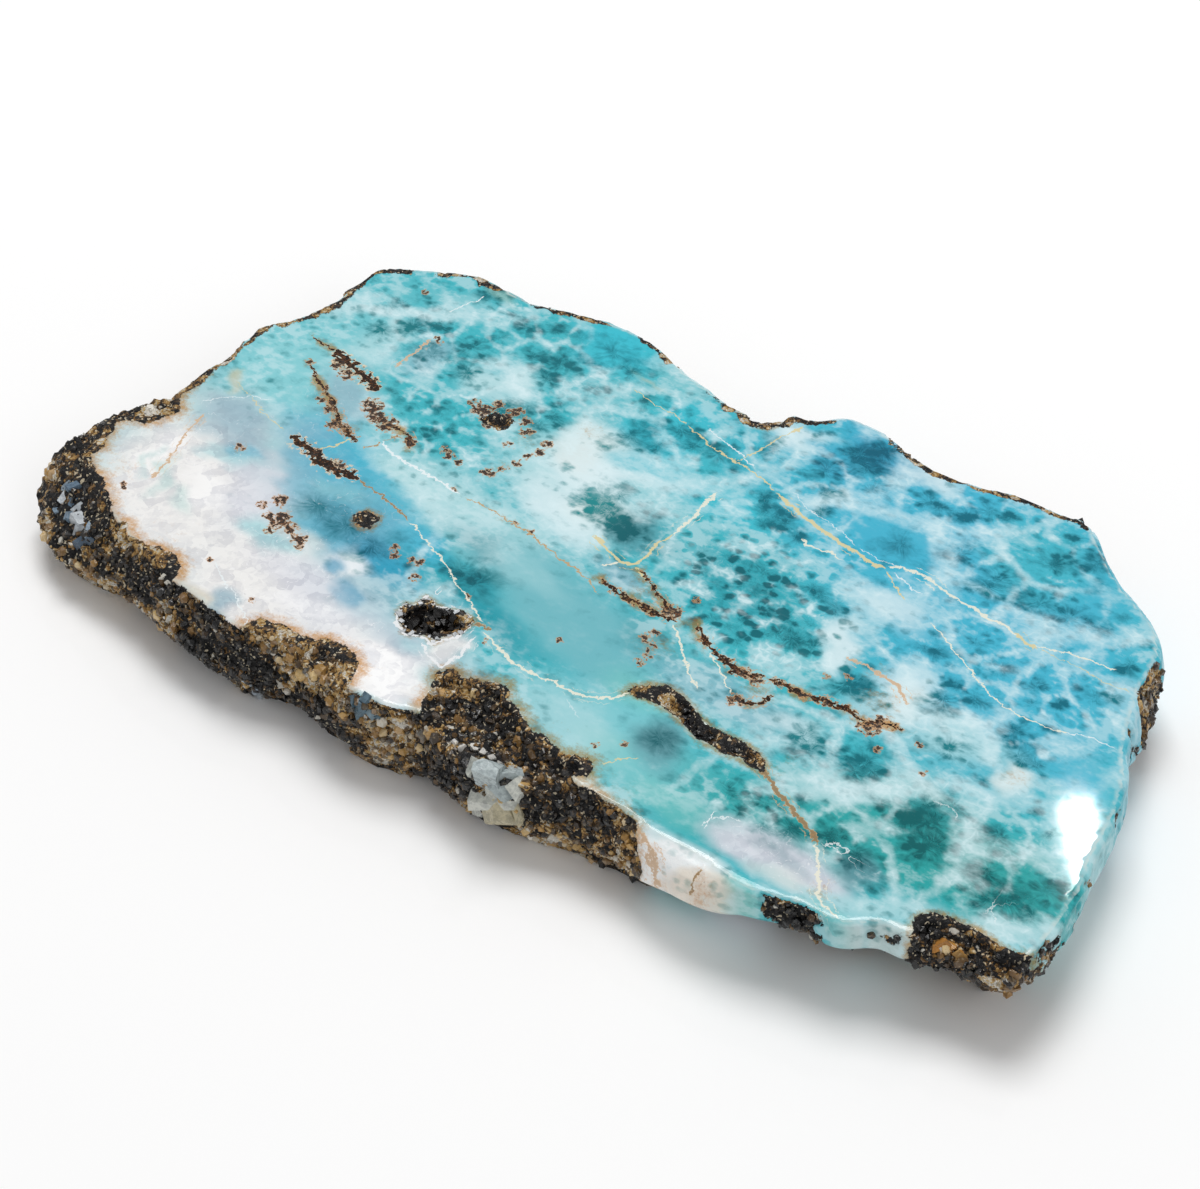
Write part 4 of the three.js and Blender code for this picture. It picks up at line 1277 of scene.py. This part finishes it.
# lava rock and its grains: colour, bumps and gloss from a place and a tone from -1 black to 1 ochre
def makeGritGroup():
    grit = lavaGrit
    sockets = [("Place", "Vector"), ("Tone", "Float")]
    results = [("Color", "Color"), ("Height", "Float"), ("Gloss", "Float")]
    tree, given, result = newGroup("lavaGrit", sockets, results)
    moved = warpNode(tree, given["Place"], 1.3, 1.0, 0.7, given["Place"])
    big = cellNode(tree, moved, grit["cells"])
    small = cellNode(tree, moved, grit["fineCells"])
    bigOwn = cellValue(tree, big, 0)
    smallOwn = cellValue(tree, small, 1)
    shade = timesAddNode(tree, bigOwn, 0.62, timesNode(tree, smallOwn, 0.38))
    shade = swayNode(tree, shade, grit["spread"] * 1.6, 0.4)
    shade = timesAddNode(tree, given["Tone"], grit["lean"], shade, clamp=True)
    fine = noiseNode(tree, given["Place"], 6.0, 4.0, 0.7)
    # a grey tint from the fine noise: darker where that noise is low, which are also the low places of the
    # bumps
    colour = tintNode(tree, rampNode(tree, shade, grit["colours"]), rampNode(tree, fine, grit["fineGreyTint"]))
    # painted highlights: a few small grains turn to the glint colour, as if they caught the lamp
    glint = stepNode(tree, smallOwn, 0.91, 0.95, 0.0, grit["paintedGlintShare"])
    tree.links.new(mixNode(tree, glint, colour, linear(grit["glint"])), result["Color"])
    height = timesAddNode(tree, big["Distance"], -0.8, timesNode(tree, small["Distance"], -0.5))
    tree.links.new(timesAddNode(tree, fine, 0.35, height), result["Height"])
    tree.links.new(stepNode(tree, smallOwn, 0.2, 0.9, grit["rough"], grit["glossy"]), result["Gloss"])
    return tree


def newMaterial(name):
    material = bpy.data.materials.new(name)
    material.use_nodes = True
    tree = material.node_tree
    place = scaleNode(tree, addNode(tree, "ShaderNodeTexCoord").outputs["Object"], (1 / mm, 1 / mm, 1 / mm))
    return material, tree, place, tree.nodes["Principled BSDF"].inputs


gritGroup = makeGritGroup()

larimarFinish = {
    "polish": 0.045,
    "brokenSide": 0.34,
    "sawnUnderside": 0.55,
    "rustGrains": 0.6,
    "drawnOut": (0.66, 1, 1),  # the pattern is drawn out along the slab
    "cellsDrawnOut": (0.82, 1, 1),
    "deepTint": (0.02, 0.32, 0.34),  # what the dark eyes leave of the colour under them, red, green, blue
    "depth": 1.45,
    "mottle": 0.8,
    "fibres": 0.5,
    "fleck": 1.05,
    "flecksPerMm": 0.7,
    "cells": 0.34,
    "cellsPerMm": 0.34,
    "net": 0.5,
    "whitest": 0.8,
    "rimWearAndHighlight": 0.6,
    "facets": 0.75,
    "facetsPerMm": (0.42, 1.5),
    "cracks": 0.55,
    "specks": 0.3,
    "stain": 0.95,
    "stainTint": (0.74, 0.42, 0.16),
    "rockBump": 0.00022,  # metres
    "bumpStrength": 0.9,
}

# colours that the shader draws with, as seen on a screen
larimarInks = {
    "threads": (220, 241, 245),
    "facets": [(0.2, (224, 225, 230)), (0.7, (255, 255, 255))],
    "cracks": (252, 252, 254),
    "specks": (240, 248, 250),
    "stain": (196, 138, 80),
    "dots": (104, 66, 38),
    "rustEdge": (204, 152, 98),
    "rust": [(0.4, (24, 17, 12)), (0.55, (52, 32, 18)), (0.68, (126, 76, 34))],
    "rimWearAndHighlight": (214, 226, 222),
    "sawn": (206, 214, 212),
}


# what several steps of the larimar share: noise of three sizes, and shares of quartz, side and underside
def larimarBase(tree, place):
    drawn = scaleNode(tree, place, larimarFinish["drawnOut"])
    height = addNode(tree, "ShaderNodeSeparateXYZ", {0: place}).outputs[2]
    quartz = attributeNode(tree, "quartz")
    busy = lessNode(tree, 1.0, timesNode(tree, attributeNode(tree, "calm"), 0.55))
    return {
        "place": place,
        "coarse": noiseNode(tree, drawn, 0.5, 3.0, 0.6),
        "middle": noiseNode(tree, drawn, 1.3, 3.0, 0.6),
        "fine": noiseNode(tree, place, 3.6, 3.0, 0.65),
        "side": stepNode(tree, height, thickness - 0.1, thickness - 0.6),
        "sawn": stepNode(tree, height, 0.12, 0.03),
        "quartz": quartz,
        "lively": timesNode(tree, lessNode(tree, 1.0, quartz, clamp=True), busy),
    }


# dark eyes, mottling, flecks and cells: gives the colour, how dark it is, and the pale net between them
def darkenPattern(tree, base, colour):
    finish = larimarFinish
    rays = noiseNode(tree, attributeNode(tree, "fibre", "Vector"), 3.2, 3.0, 0.6)
    rays = timesNode(tree, lessNode(tree, rays, 0.5), attributeNode(tree, "fibreShare"))
    eyesDark = attributeNode(tree, "dark")
    strokes = timesNode(tree, rays, 3.0 * finish["fibres"], mathNode(tree, "ADD", eyesDark, 0.12))
    dark = mathNode(tree, "ADD", eyesDark, strokes)
    patches = swayNode(tree, base["coarse"], 1.6 * finish["mottle"])
    patches = swayNode(tree, base["middle"], 0.9 * finish["mottle"], patches)
    dark = mathNode(tree, "ADD", dark, timesNode(tree, patches, base["lively"]))

    speckle = attributeNode(tree, "speckle")
    cellsDrawn = scaleNode(tree, base["place"], finish["cellsDrawnOut"])
    stirred = warpNode(tree, base["place"], 0.7, 2.0, 1.1, cellsDrawn)
    flecks = stepNode(tree, cellNode(tree, stirred, finish["flecksPerMm"])["Distance"], 0.56, 0.14)
    flecks = timesNode(tree, lessNode(tree, flecks, 0.34), speckle)
    dark = timesAddNode(tree, flecks, finish["fleck"], dark)
    cellGap = cellNode(tree, stirred, finish["cellsPerMm"])["Distance"]
    cells = timesNode(tree, lessNode(tree, stepNode(tree, cellGap, 0.56, 0.14), 0.4), base["lively"])
    dark = timesAddNode(tree, cells, finish["cells"], dark)
    deep = tintNode(tree, colour, (*finish["deepTint"], 1))
    colour = mixNode(tree, timesAddNode(tree, dark, finish["depth"], -0.06, clamp=True), colour, deep)

    cellNet = stepNode(tree, cellGap, 0.68, 0.84)
    fleckEdge = cellNode(tree, stirred, finish["flecksPerMm"], "DISTANCE_TO_EDGE")["Distance"]
    fleckNet = stepNode(tree, fleckEdge, 0.13, 0.0)
    net = timesNode(tree, cellNet, timesNode(tree, base["lively"], finish["net"] * 0.55))
    net = timesAddNode(tree, fleckNet, timesNode(tree, speckle, finish["net"] * 0.8), net)
    return colour, dark, net


# white threads, clouds and net
def whitenPattern(tree, base, colour, dark, net):
    white = attributeNode(tree, "white")
    wisps = swayNode(tree, base["coarse"], -0.9, white)
    wisps = swayNode(tree, base["middle"], -0.7, wisps)
    wisps = timesAddNode(tree, net, stepNode(tree, base["coarse"], 0.62, 0.42), wisps)
    wisps = timesNode(tree, wisps, stepNode(tree, white, -0.04, 0.32))
    pale = timesNode(tree, stepNode(tree, dark, -0.02, -0.42), timesNode(tree, base["lively"], 0.5))
    wisps = mathNode(tree, "MAXIMUM", wisps, pale, clamp=True)
    wisps = timesNode(tree, wisps, larimarFinish["whitest"])
    return mixNode(tree, wisps, colour, linear(larimarInks["threads"]))


# the quartz is built of facets with pale cracks, and fine pale specks lie all over the stone
def facetQuartz(tree, base, colour):
    finish, place = larimarFinish, base["place"]
    bent = warpNode(tree, place, 0.5, 3.0, 2.2, place)
    facet = cellValue(tree, cellNode(tree, bent, finish["facetsPerMm"][0]), 0)
    smallFacet = cellValue(tree, cellNode(tree, bent, finish["facetsPerMm"][1]), 1)
    tone = timesAddNode(tree, facet, 0.6, timesNode(tree, smallFacet, 0.4))
    tone = swayNode(tree, base["middle"], 0.5, tone)
    shaded = tintNode(tree, colour, rampNode(tree, tone, larimarInks["facets"]))
    colour = mixNode(tree, timesNode(tree, base["quartz"], finish["facets"]), colour, shaded)
    cracks = mathNode(tree, "ABSOLUTE", lessNode(tree, noiseNode(tree, place, 0.32, 2.0), 0.5))
    cracks = timesNode(tree, stepNode(tree, cracks, 0.009, 0.002), stepNode(tree, base["fine"], 0.45, 0.62))
    cracks = timesNode(tree, cracks, timesNode(tree, base["quartz"], finish["cracks"]))
    colour = mixNode(tree, cracks, colour, linear(larimarInks["cracks"]))
    specks = stepNode(tree, noiseNode(tree, place, 9.0, 2.0, 0.5), 0.68, 0.76)
    specks = timesNode(tree, specks, stepNode(tree, base["coarse"], 0.45, 0.62))
    return mixNode(tree, timesNode(tree, specks, finish["specks"]), colour, linear(larimarInks["specks"]))


# orange stain and rust grains: the colour, the share of rust, and the rust's own shade
def rustOver(tree, base, colour):
    finish, place = larimarFinish, base["place"]
    stainMark, rustMark = attributeNode(tree, "stain"), attributeNode(tree, "rust")
    stain = swayNode(tree, base["fine"], 0.8, stainMark)
    stain = swayNode(tree, base["middle"], 0.9, stain)
    stain = timesNode(tree, stepNode(tree, stain, 0.22, 1.0), finish["stain"])
    stained = tintNode(tree, colour, (*finish["stainTint"], 1))
    stained = mixNode(tree, 0.36, stained, linear(larimarInks["stain"]))
    colour = mixNode(tree, stain, colour, stained)
    ragged = lessNode(tree, noiseNode(tree, place, 1.7, 3.0, 0.68), 0.56)
    rust = timesAddNode(tree, ragged, 3.4, rustMark)
    rust = timesNode(tree, rust, stepNode(tree, rustMark, 0.05, 0.45))
    dots = stepNode(tree, noiseNode(tree, place, 5.0, 3.0, 0.6), 0.63, 0.7)
    dots = timesNode(tree, dots, stepNode(tree, stainMark, 0.22, 0.6, 0.0, 0.75))
    colour = mixNode(tree, dots, colour, linear(larimarInks["dots"]))
    rustEdge = timesNode(tree, stepNode(tree, rust, 0.18, 0.5), 0.75)
    colour = mixNode(tree, rustEdge, colour, linear(larimarInks["rustEdge"]))
    rustShade = rampNode(tree, base["fine"], larimarInks["rust"])
    return mixNode(tree, stepNode(tree, rust, 0.5, 0.68), colour, rustShade), rust, rustShade


# the fine mineral lines, each with a hair line beside it where it is wide, and a rusty core in some
def drawVeins(tree, base, colour, rustShade):
    place = base["place"]
    gap = swayNode(tree, base["fine"], 0.42, attributeNode(tree, "veinGap"))
    gap = swayNode(tree, noiseNode(tree, place, 0.85, 3.0, 0.6), 1.5, gap)
    gap = mathNode(tree, "ABSOLUTE", gap)
    beside = mathNode(tree, "ABSOLUTE", lessNode(tree, gap, 0.75))
    half = attributeNode(tree, "veinHalf")
    hasCore = attributeNode(tree, "veinCore")
    plain = swayNode(tree, noiseNode(tree, place, 0.9, 3.0), 1.8, 0.9)
    beads = stepNode(tree, noiseNode(tree, place, 1.5, 2.0), 0.4, 0.66, 0.6, 2.1)
    thick = timesNode(tree, half, mixValue(tree, hasCore, plain, beads))
    ratio = mathNode(tree, "DIVIDE", gap, mathNode(tree, "MAXIMUM", thick, 0.02))
    line = timesNode(tree, stepNode(tree, ratio, 1.3, 0.85), stepNode(tree, half, 0.01, 0.09))
    hair = timesNode(tree, stepNode(tree, beside, 0.07, 0.02), stepNode(tree, half, 0.12, 0.2))
    hair = timesNode(tree, hair, stepNode(tree, noiseNode(tree, place, 0.3, 2.0), 0.5, 0.58))
    line = mathNode(tree, "MAXIMUM", line, timesNode(tree, hair, 0.8))
    broken = timesAddNode(tree, attributeNode(tree, "veinBroken"), 0.34, 0.16)
    gaps = lessNode(tree, noiseNode(tree, place, 2.6, 2.0), broken)
    kept = timesNode(tree, stepNode(tree, gaps, 0.0, 0.1, 0.25, 1.0), 0.9)
    colour = mixNode(tree, timesNode(tree, line, kept), colour, attributeNode(tree, "veinShade", "Color"))
    core = timesNode(tree, stepNode(tree, ratio, 0.95, 0.7), hasCore)
    core = timesNode(tree, core, stepNode(tree, gaps, 0.02, 0.12), stepNode(tree, half, 0.05, 0.15))
    return mixNode(tree, core, colour, rustShade)


# a pale line along the edge of the polished face: partly wear, partly a painted highlight of the rounded
# edge
def paleRimWearAndHighlight(tree, base, colour):
    rim = attributeNode(tree, "rim")
    worn = timesNode(tree, stepNode(tree, rim, 0.7, 0.25), stepNode(tree, rim, 0.02, 0.15))
    worn = timesNode(tree, worn, stepNode(tree, base["middle"], 0.35, 0.65, 0.1, larimarFinish["rimWearAndHighlight"]))
    return mixNode(tree, worn, colour, linear(larimarInks["rimWearAndHighlight"]))


def makeLarimar():
    finish = larimarFinish
    material, tree, place, shader = newMaterial("polishedLarimar")
    base = larimarBase(tree, place)
    fine, side, sawn = base["fine"], base["side"], base["sawn"]
    colour, dark, net = darkenPattern(tree, base, attributeNode(tree, "ground", "Color"))
    colour = whitenPattern(tree, base, colour, dark, net)
    colour = facetQuartz(tree, base, colour)
    colour, rust, rustShade = rustOver(tree, base, colour)
    colour = drawVeins(tree, base, colour, rustShade)
    colour = paleRimWearAndHighlight(tree, base, colour)

    rock = stepNode(tree, swayNode(tree, fine, 1.1, attributeNode(tree, "rock")), 0.42, 0.58)
    grit = useGroup(tree, gritGroup, {"Place": place, "Tone": attributeNode(tree, "rockTone")})
    colour = mixNode(tree, rock, colour, grit["Color"])
    colour = mixNode(tree, sawn, colour, mixNode(tree, 0.35, colour, linear(larimarInks["sawn"])))
    tree.links.new(colour, shader["Base Color"])

    gloss = timesAddNode(tree, side, finish["brokenSide"] - finish["polish"], finish["polish"])
    gloss = mathNode(tree, "MAXIMUM", gloss, timesNode(tree, sawn, finish["sawnUnderside"]))
    dull = timesNode(tree, stepNode(tree, rust, 0.5, 0.8), finish["rustGrains"])
    gloss = mathNode(tree, "MAXIMUM", gloss, dull)
    gloss = mixValue(tree, rock, swayNode(tree, fine, 0.05, gloss), grit["Gloss"])
    tree.links.new(gloss, shader["Roughness"])

    sockets = {"Vector": place, "Scale": 0.9, "Distortion": 1.2, "Detail": 2.0}
    sawMarks = addNode(tree, "ShaderNodeTexWave", sockets).outputs["Fac"]
    relief = timesNode(tree, grit["Height"], rock)
    relief = timesAddNode(tree, timesNode(tree, side, fine), 0.25, relief)
    relief = timesAddNode(tree, timesNode(tree, sawn, sawMarks), 0.3, relief)
    tree.links.new(bumpNode(tree, relief, finish["rockBump"], finish["bumpStrength"]), shader["Normal"])
    shader["IOR"].default_value = 1.52
    shader["Specular IOR Level"].default_value = 0.3
    return material


# colours, gloss and bumps of the loose grains and of the crystals; bumps in metres
grainFinish = {"grit": 0.2, "gloss": 0.4, "bump": 0.00008, "strength": 0.7}
crystalFinish = {
    "cloud": [(0.3, (190, 192, 196)), (0.7, (255, 255, 255))],
    "clear": 0.16,
    "frosted": 0.4,
    "bump": 0.00006,
}


def makeRockGrains():
    finish = grainFinish
    material, tree, place, shader = newMaterial("lavaGrains")
    grit = useGroup(tree, gritGroup, {"Place": place, "Tone": attributeNode(tree, "rockTone")})
    own = rampNode(tree, attributeNode(tree, "grainTone"), lavaGrit["colours"])
    tree.links.new(mixNode(tree, finish["grit"], own, grit["Color"]), shader["Base Color"])
    tree.links.new(timesAddNode(tree, grit["Gloss"], finish["gloss"], 0.02), shader["Roughness"])
    tree.links.new(bumpNode(tree, grit["Height"], finish["bump"], finish["strength"]), shader["Normal"])
    return material


def makeCrystalMaterial():
    finish = crystalFinish
    material, tree, place, shader = newMaterial("edgeCrystal")
    cloud = noiseNode(tree, place, 1.6, 4.0, 0.65)
    shade = attributeNode(tree, "crystalShade", "Color")
    tree.links.new(tintNode(tree, shade, rampNode(tree, cloud, finish["cloud"])), shader["Base Color"])
    tree.links.new(stepNode(tree, cloud, 0.3, 0.7, finish["clear"], finish["frosted"]), shader["Roughness"])
    tree.links.new(bumpNode(tree, noiseNode(tree, place, 5.0, 3.0), finish["bump"]), shader["Normal"])
    return material


larimarMaterial = makeLarimar()
grainMaterial = makeRockGrains()
crystalMaterial = makeCrystalMaterial()
stone.data.materials.append(larimarMaterial)
for polygon in stone.data.polygons:
    polygon.use_smooth = True
print("materials made")


# points of the stone that the camera sees at places of the photograph: place and outward direction
def hitStone(pixels):
    bm = bmesh.new()
    bm.from_mesh(stone.data)
    tree = BVHTree.FromBMesh(bm)
    bm.free()
    hits = []  # one for each pixel, none where the ray misses
    for pixel, ray in zip(pixels, raysThrough(pixels)):
        place, normal = tree.ray_cast(Vector(cameraAt * mm), Vector(ray))[:2]
        if place is None:
            print("nothing at", pixel)
            hits.append(None)
        else:
            hits.append((np.array(place) / mm, np.array(normal)))
    return hits


crumbHeights = (0.03, thickness + 0.12)  # no grain or crystal goes below or above these


# one joined mesh from copies of a few modelled shapes
def joinCopies(name, shapes, copies, material, fields):
    points, faces, values = [], [], {field: [] for field in fields}
    start = 0
    for shape, place, turn, size, own in copies:
        shapePoints, shapeFaces = shapes[shape]
        placed = (shapePoints * size) @ turn.T + place
        placed[:, 2] = np.clip(placed[:, 2], *crumbHeights)
        points.append(placed)
        faces.append(shapeFaces + start)
        start += len(placed)
        for field in fields:
            values[field].append(np.repeat(np.atleast_2d(own[field]), len(placed), axis=0))
    points, faces = np.concatenate(points), np.concatenate(faces)
    mesh = bpy.data.meshes.new(name)
    mesh.vertices.add(len(points))
    mesh.vertices.foreach_set("co", (points * mm).ravel())
    mesh.loops.add(faces.size)
    mesh.loops.foreach_set("vertex_index", faces.ravel())
    mesh.polygons.add(len(faces))
    mesh.polygons.foreach_set("loop_start", np.arange(0, faces.size, 3))
    mesh.polygons.foreach_set("use_smooth", np.zeros(len(faces), bool))
    mesh.update(calc_edges=True)
    mesh.validate()
    for field in fields:
        data = np.concatenate(values[field])
        if data.shape[1] == 3:
            storeValues(mesh, field, data, "FLOAT_COLOR")
        else:
            storeValues(mesh, field, data[:, 0])
    piece = bpy.data.objects.new(name, mesh)
    bpy.context.scene.collection.objects.link(piece)
    mesh.materials.append(material)
    return piece


# a few broken grains or crystals, each cut from a primitive by planes
def modelShapes(count, seed, cuts, stretch, block=False):
    cutDepths = (0.45, 0.75)
    chance = np.random.default_rng(seed)
    shapes = []
    for _ in range(count):
        bpy.ops.object.select_all(action="DESELECT")
        if block:
            bpy.ops.mesh.primitive_cube_add(size=2, location=(0, 0, 0))
        else:
            bpy.ops.mesh.primitive_ico_sphere_add(subdivisions=1, radius=1, location=(0, 0, 0))
        shape = bpy.context.object
        bpy.ops.object.mode_set(mode="EDIT")
        bpy.ops.mesh.select_all(action="SELECT")
        bpy.ops.transform.resize(value=tuple(chance.uniform(*stretch, 3)))
        for _ in range(cuts):
            away = Vector(chance.normal(size=3)).normalized()
            bpy.ops.mesh.select_all(action="SELECT")
            onPlane = away * chance.uniform(*cutDepths)
            bpy.ops.mesh.bisect(plane_co=onPlane, plane_no=away, use_fill=True, clear_outer=True)
        bpy.ops.mesh.select_all(action="SELECT")
        bpy.ops.mesh.remove_doubles(threshold=0.02)
        bpy.ops.mesh.quads_convert_to_tris()
        bpy.ops.mesh.normals_make_consistent(inside=False)
        bpy.ops.object.mode_set(mode="OBJECT")
        mesh = shape.data
        points = np.array([vertex.co for vertex in mesh.vertices])
        faces = np.array([list(polygon.vertices) for polygon in mesh.polygons])
        shapes.append((points, faces))
        bpy.data.objects.remove(shape)
    return shapes


def randomTurn(chance):
    return np.array(Euler(chance.uniform(0, 2 * math.pi, 3)).to_matrix())


# loose grains of the lava rind, half sunk in the rock
rindGrains = {
    "count": 4200,
    "shapes": 6,
    "cuts": 2,
    "stretch": (0.5, 1.3),
    "smallest": 0.26,  # half sizes
    "largest": 0.85,
    "smaller": 2.4,  # the higher, the more small ones
    "sunk": 0.25,  # share of a grain's size that it sits below the surface
    "faceGap": 0.05,
    "hollowGap": 0.6,  # how far they keep from the hollow with crystals
    "towardsCamera": (0.57, -0.82, 0),  # more of them lie on this side
    "hiddenShare": 0.35,
    "tone": 0.31,
    "toneSpread": 0.19,
    "toneLean": 0.31,  # how far the rock's own tone shifts theirs
    "paleShare": 0.03,
    "paleTone": 0.9,
    "shapeSeed": 3,
    "seed": 12,
}


def makeRindGrains():
    grains = rindGrains
    count = grains["count"]
    chance = np.random.default_rng(grains["seed"])
    shapes = modelShapes(grains["shapes"], grains["shapeSeed"], grains["cuts"], grains["stretch"])
    mesh = stone.data
    points, normals = pointsOf(mesh), normalsOf(mesh)
    hollow = depthInside(points[:, :2], onStone(openRock["crystalHollow"]))
    rock = rockAt(points) * (hollow < -grains["hollowGap"]) * (points[:, 2] > 0.3)
    front = smoothStep(-20, 10, points @ np.array(grains["towardsCamera"]))
    share = grains["hiddenShare"] + (1 - grains["hiddenShare"]) * front
    corners, starts, counts = cornersOf(mesh)
    areas = np.empty(len(mesh.polygons))
    mesh.polygons.foreach_get("area", areas)
    weight = areas * faceMeans(mesh, rock * share) ** 2
    chosen = chance.choice(len(areas), count, p=weight / weight.sum())
    blend = chance.dirichlet((1, 1, 1), count)
    picked = corners[starts[chosen][:, None] + np.arange(3)]
    places = (points[picked] * blend[:, :, None]).sum(1)
    outward = (normals[picked] * blend[:, :, None]).sum(1)
    spread = grains["largest"] - grains["smallest"]
    sizes = grains["smallest"] + spread * chance.random(count) ** grains["smaller"]
    tones = rockToneAt(places)
    own = grains["tone"] + grains["toneSpread"] * chance.normal(size=count) + grains["toneLean"] * tones
    own = np.where(chance.random(count) < grains["paleShare"], grains["paleTone"], np.clip(own, 0, 1))
    copies = []
    for place, out, size, tone, shade in zip(places, outward, sizes, tones, own):
        place = place - out * size * grains["sunk"]
        if place[2] + size * 0.9 > thickness + grains["faceGap"] or place[2] - size < 0.02:
            continue
        fields = {"grainTone": shade, "rockTone": tone}
        copies.append((int(chance.integers(len(shapes))), place, randomTurn(chance), size, fields))
    return joinCopies("rindGrains", shapes, copies, grainMaterial, ("grainTone", "rockTone"))


# crystals that the photograph shows one by one: pixel x, y, half size; each group has its own colours
crystalGroups = {
    "paleLump": {
        "places": [
            (484, 778, 2.0), (504, 779, 2.3), (488, 797, 2.3), (507, 800, 2.4), (521, 790, 1.6),
            (480, 808, 1.6), (498, 814, 1.8), (514, 813, 1.4), (472, 768, 1.2),
        ],
        "colours": [(218, 220, 210), (232, 231, 222), (188, 200, 200), (212, 202, 170)],
        "sunk": 0.45,
    },
    "bayStreak": {
        "places": [
            (455, 742, 0.6), (463, 746, 0.7), (473, 750, 0.7), (483, 753, 0.6), (492, 758, 0.5),
            (500, 763, 0.5),
        ],
        "colours": [(226, 222, 214), (190, 186, 178), (240, 238, 234)],
        "sunk": 0.4,
    },
    "blueCrystal": {
        "places": [(352, 700, 1.1), (361, 706, 1.3), (370, 712, 1.1), (366, 700, 0.8), (377, 718, 0.6)],
        "colours": [(116, 142, 156), (96, 122, 136), (140, 162, 172)],
        "sunk": 0.45,
    },
    "tipCrystals": {
        "places": [
            (64, 497, 1.2), (72, 503, 1.5), (80, 508, 1.3), (70, 516, 1.3), (79, 521, 1.5), (87, 529, 1.3),
            (81, 537, 1.0), (60, 508, 0.9), (91, 541, 0.9), (73, 488, 1.0), (78, 529, 1.2), (66, 486, 0.7),
        ],
        "colours": [(134, 156, 174), (106, 130, 150), (172, 190, 202), (84, 102, 120), (206, 212, 216)],
        "sunk": 0.5,
    },
    "sideStreak": {
        "places": [(249, 685, 0.6), (255, 690, 0.7), (262, 696, 0.7), (268, 702, 0.6), (243, 680, 0.4)],
        "colours": [(206, 214, 220), (160, 172, 182)],
        "sunk": 0.4,
    },
    "cornerPebbles": {
        "places": [(942, 942, 1.0), (953, 947, 0.8), (936, 948, 0.5), (962, 952, 0.5)],
        "colours": [(206, 150, 74), (188, 130, 60)],
        "sunk": 0.3,
    },
}


crystalCut = {"shapes": 7, "cuts": 5, "stretch": (0.6, 1.0), "shapeSeed": 21, "seed": 8}


def makeCrystals():
    cut = crystalCut
    chance = np.random.default_rng(cut["seed"])
    shapes = modelShapes(cut["shapes"], cut["shapeSeed"], cut["cuts"], cut["stretch"], block=True)
    copies = []
    for group in crystalGroups.values():
        hits = hitStone([(x, y) for x, y, size in group["places"]])
        for hit, (x, y, size) in zip(hits, group["places"]):
            if hit is None:
                continue
            place, normal = hit
            place = place - normal * size * group["sunk"]
            place[2] = np.clip(place[2], size, thickness - size * 0.8)
            colour = group["colours"][int(chance.integers(len(group["colours"])))]
            shape = int(chance.integers(len(shapes)))
            copies.append((shape, place, randomTurn(chance), size, {"crystalShade": toLinear(colour)}))
    return joinCopies("edgeCrystals", shapes, copies, crystalMaterial, ("crystalShade",))


# the hollow of black crystals with its pale rim
blackHollow = {
    "shapes": 6,
    "cuts": 4,
    "stretch": (0.5, 1.0),
    "black": 70,
    "blackSizes": (0.28, 0.62),
    "blackTones": [8, 14, 24, 60],
    "toneShares": [0.4, 0.3, 0.2, 0.1],
    "pale": 26,
    "paleSizes": (0.3, 0.55),
    "paleTones": (196, 238),
    "shapeSeed": 33,
    "seed": 4,
}


def makeHollowCrystals():
    hollow = blackHollow
    chance = np.random.default_rng(hollow["seed"])
    count, seed = hollow["shapes"], hollow["shapeSeed"]
    shapes = modelShapes(count, seed, hollow["cuts"], hollow["stretch"], block=True)
    outline = onStone(openRock["crystalHollow"])
    low, high = outline.min(0), outline.max(0)
    faces = [tuple(polygon.vertices) for polygon in stone.data.polygons]
    tree = BVHTree.FromPolygons([tuple(point) for point in pointsOf(stone.data)], faces)
    copies = []

    def addCrystal(place, size, colour):
        fields = {"crystalShade": toLinear(colour)}
        copies.append((int(chance.integers(len(shapes))), place, randomTurn(chance), size, fields))

    while len(copies) < hollow["black"]:
        spot = chance.uniform(low, high)
        if depthInside(spot[None], outline)[0] < 0.1:
            continue
        under = tree.ray_cast(Vector((*spot, thickness + 9)), Vector((0, 0, -1)))[0]
        size = chance.uniform(*hollow["blackSizes"])
        lift = min(under.z + size * chance.uniform(0, 0.6), thickness - size * 0.75)
        shade = chance.choice(hollow["blackTones"], p=hollow["toneShares"])
        addCrystal(np.array([*spot, lift]), size, (shade + 4, shade + 1, shade))

    # pale ones follow one another along the rim
    lengths = np.linalg.norm(np.roll(outline, -1, axis=0) - outline, axis=1)
    for share in (np.arange(hollow["pale"]) + chance.random(hollow["pale"]) * 0.6) / hollow["pale"]:
        along = share * lengths.sum()
        side = int(np.searchsorted(np.cumsum(lengths), along))
        left = along - lengths[:side].sum()
        start, end = outline[side], outline[(side + 1) % len(outline)]
        spot = start + (end - start) * left / lengths[side]
        size = chance.uniform(*hollow["paleSizes"])
        tone = chance.uniform(*hollow["paleTones"])
        addCrystal(np.array([*spot, thickness - size * 0.62]), size, (tone - 4, tone, tone + 2))
    return joinCopies("hollowCrystals", shapes, copies, crystalMaterial, ("crystalShade",))


pieces = [stone, makeRindGrains(), makeCrystals(), makeHollowCrystals()]
print("grains and crystals placed:", [len(piece.data.polygons) for piece in pieces])

for piece in pieces:
    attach(piece, "root")
    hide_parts("larimar_slab")
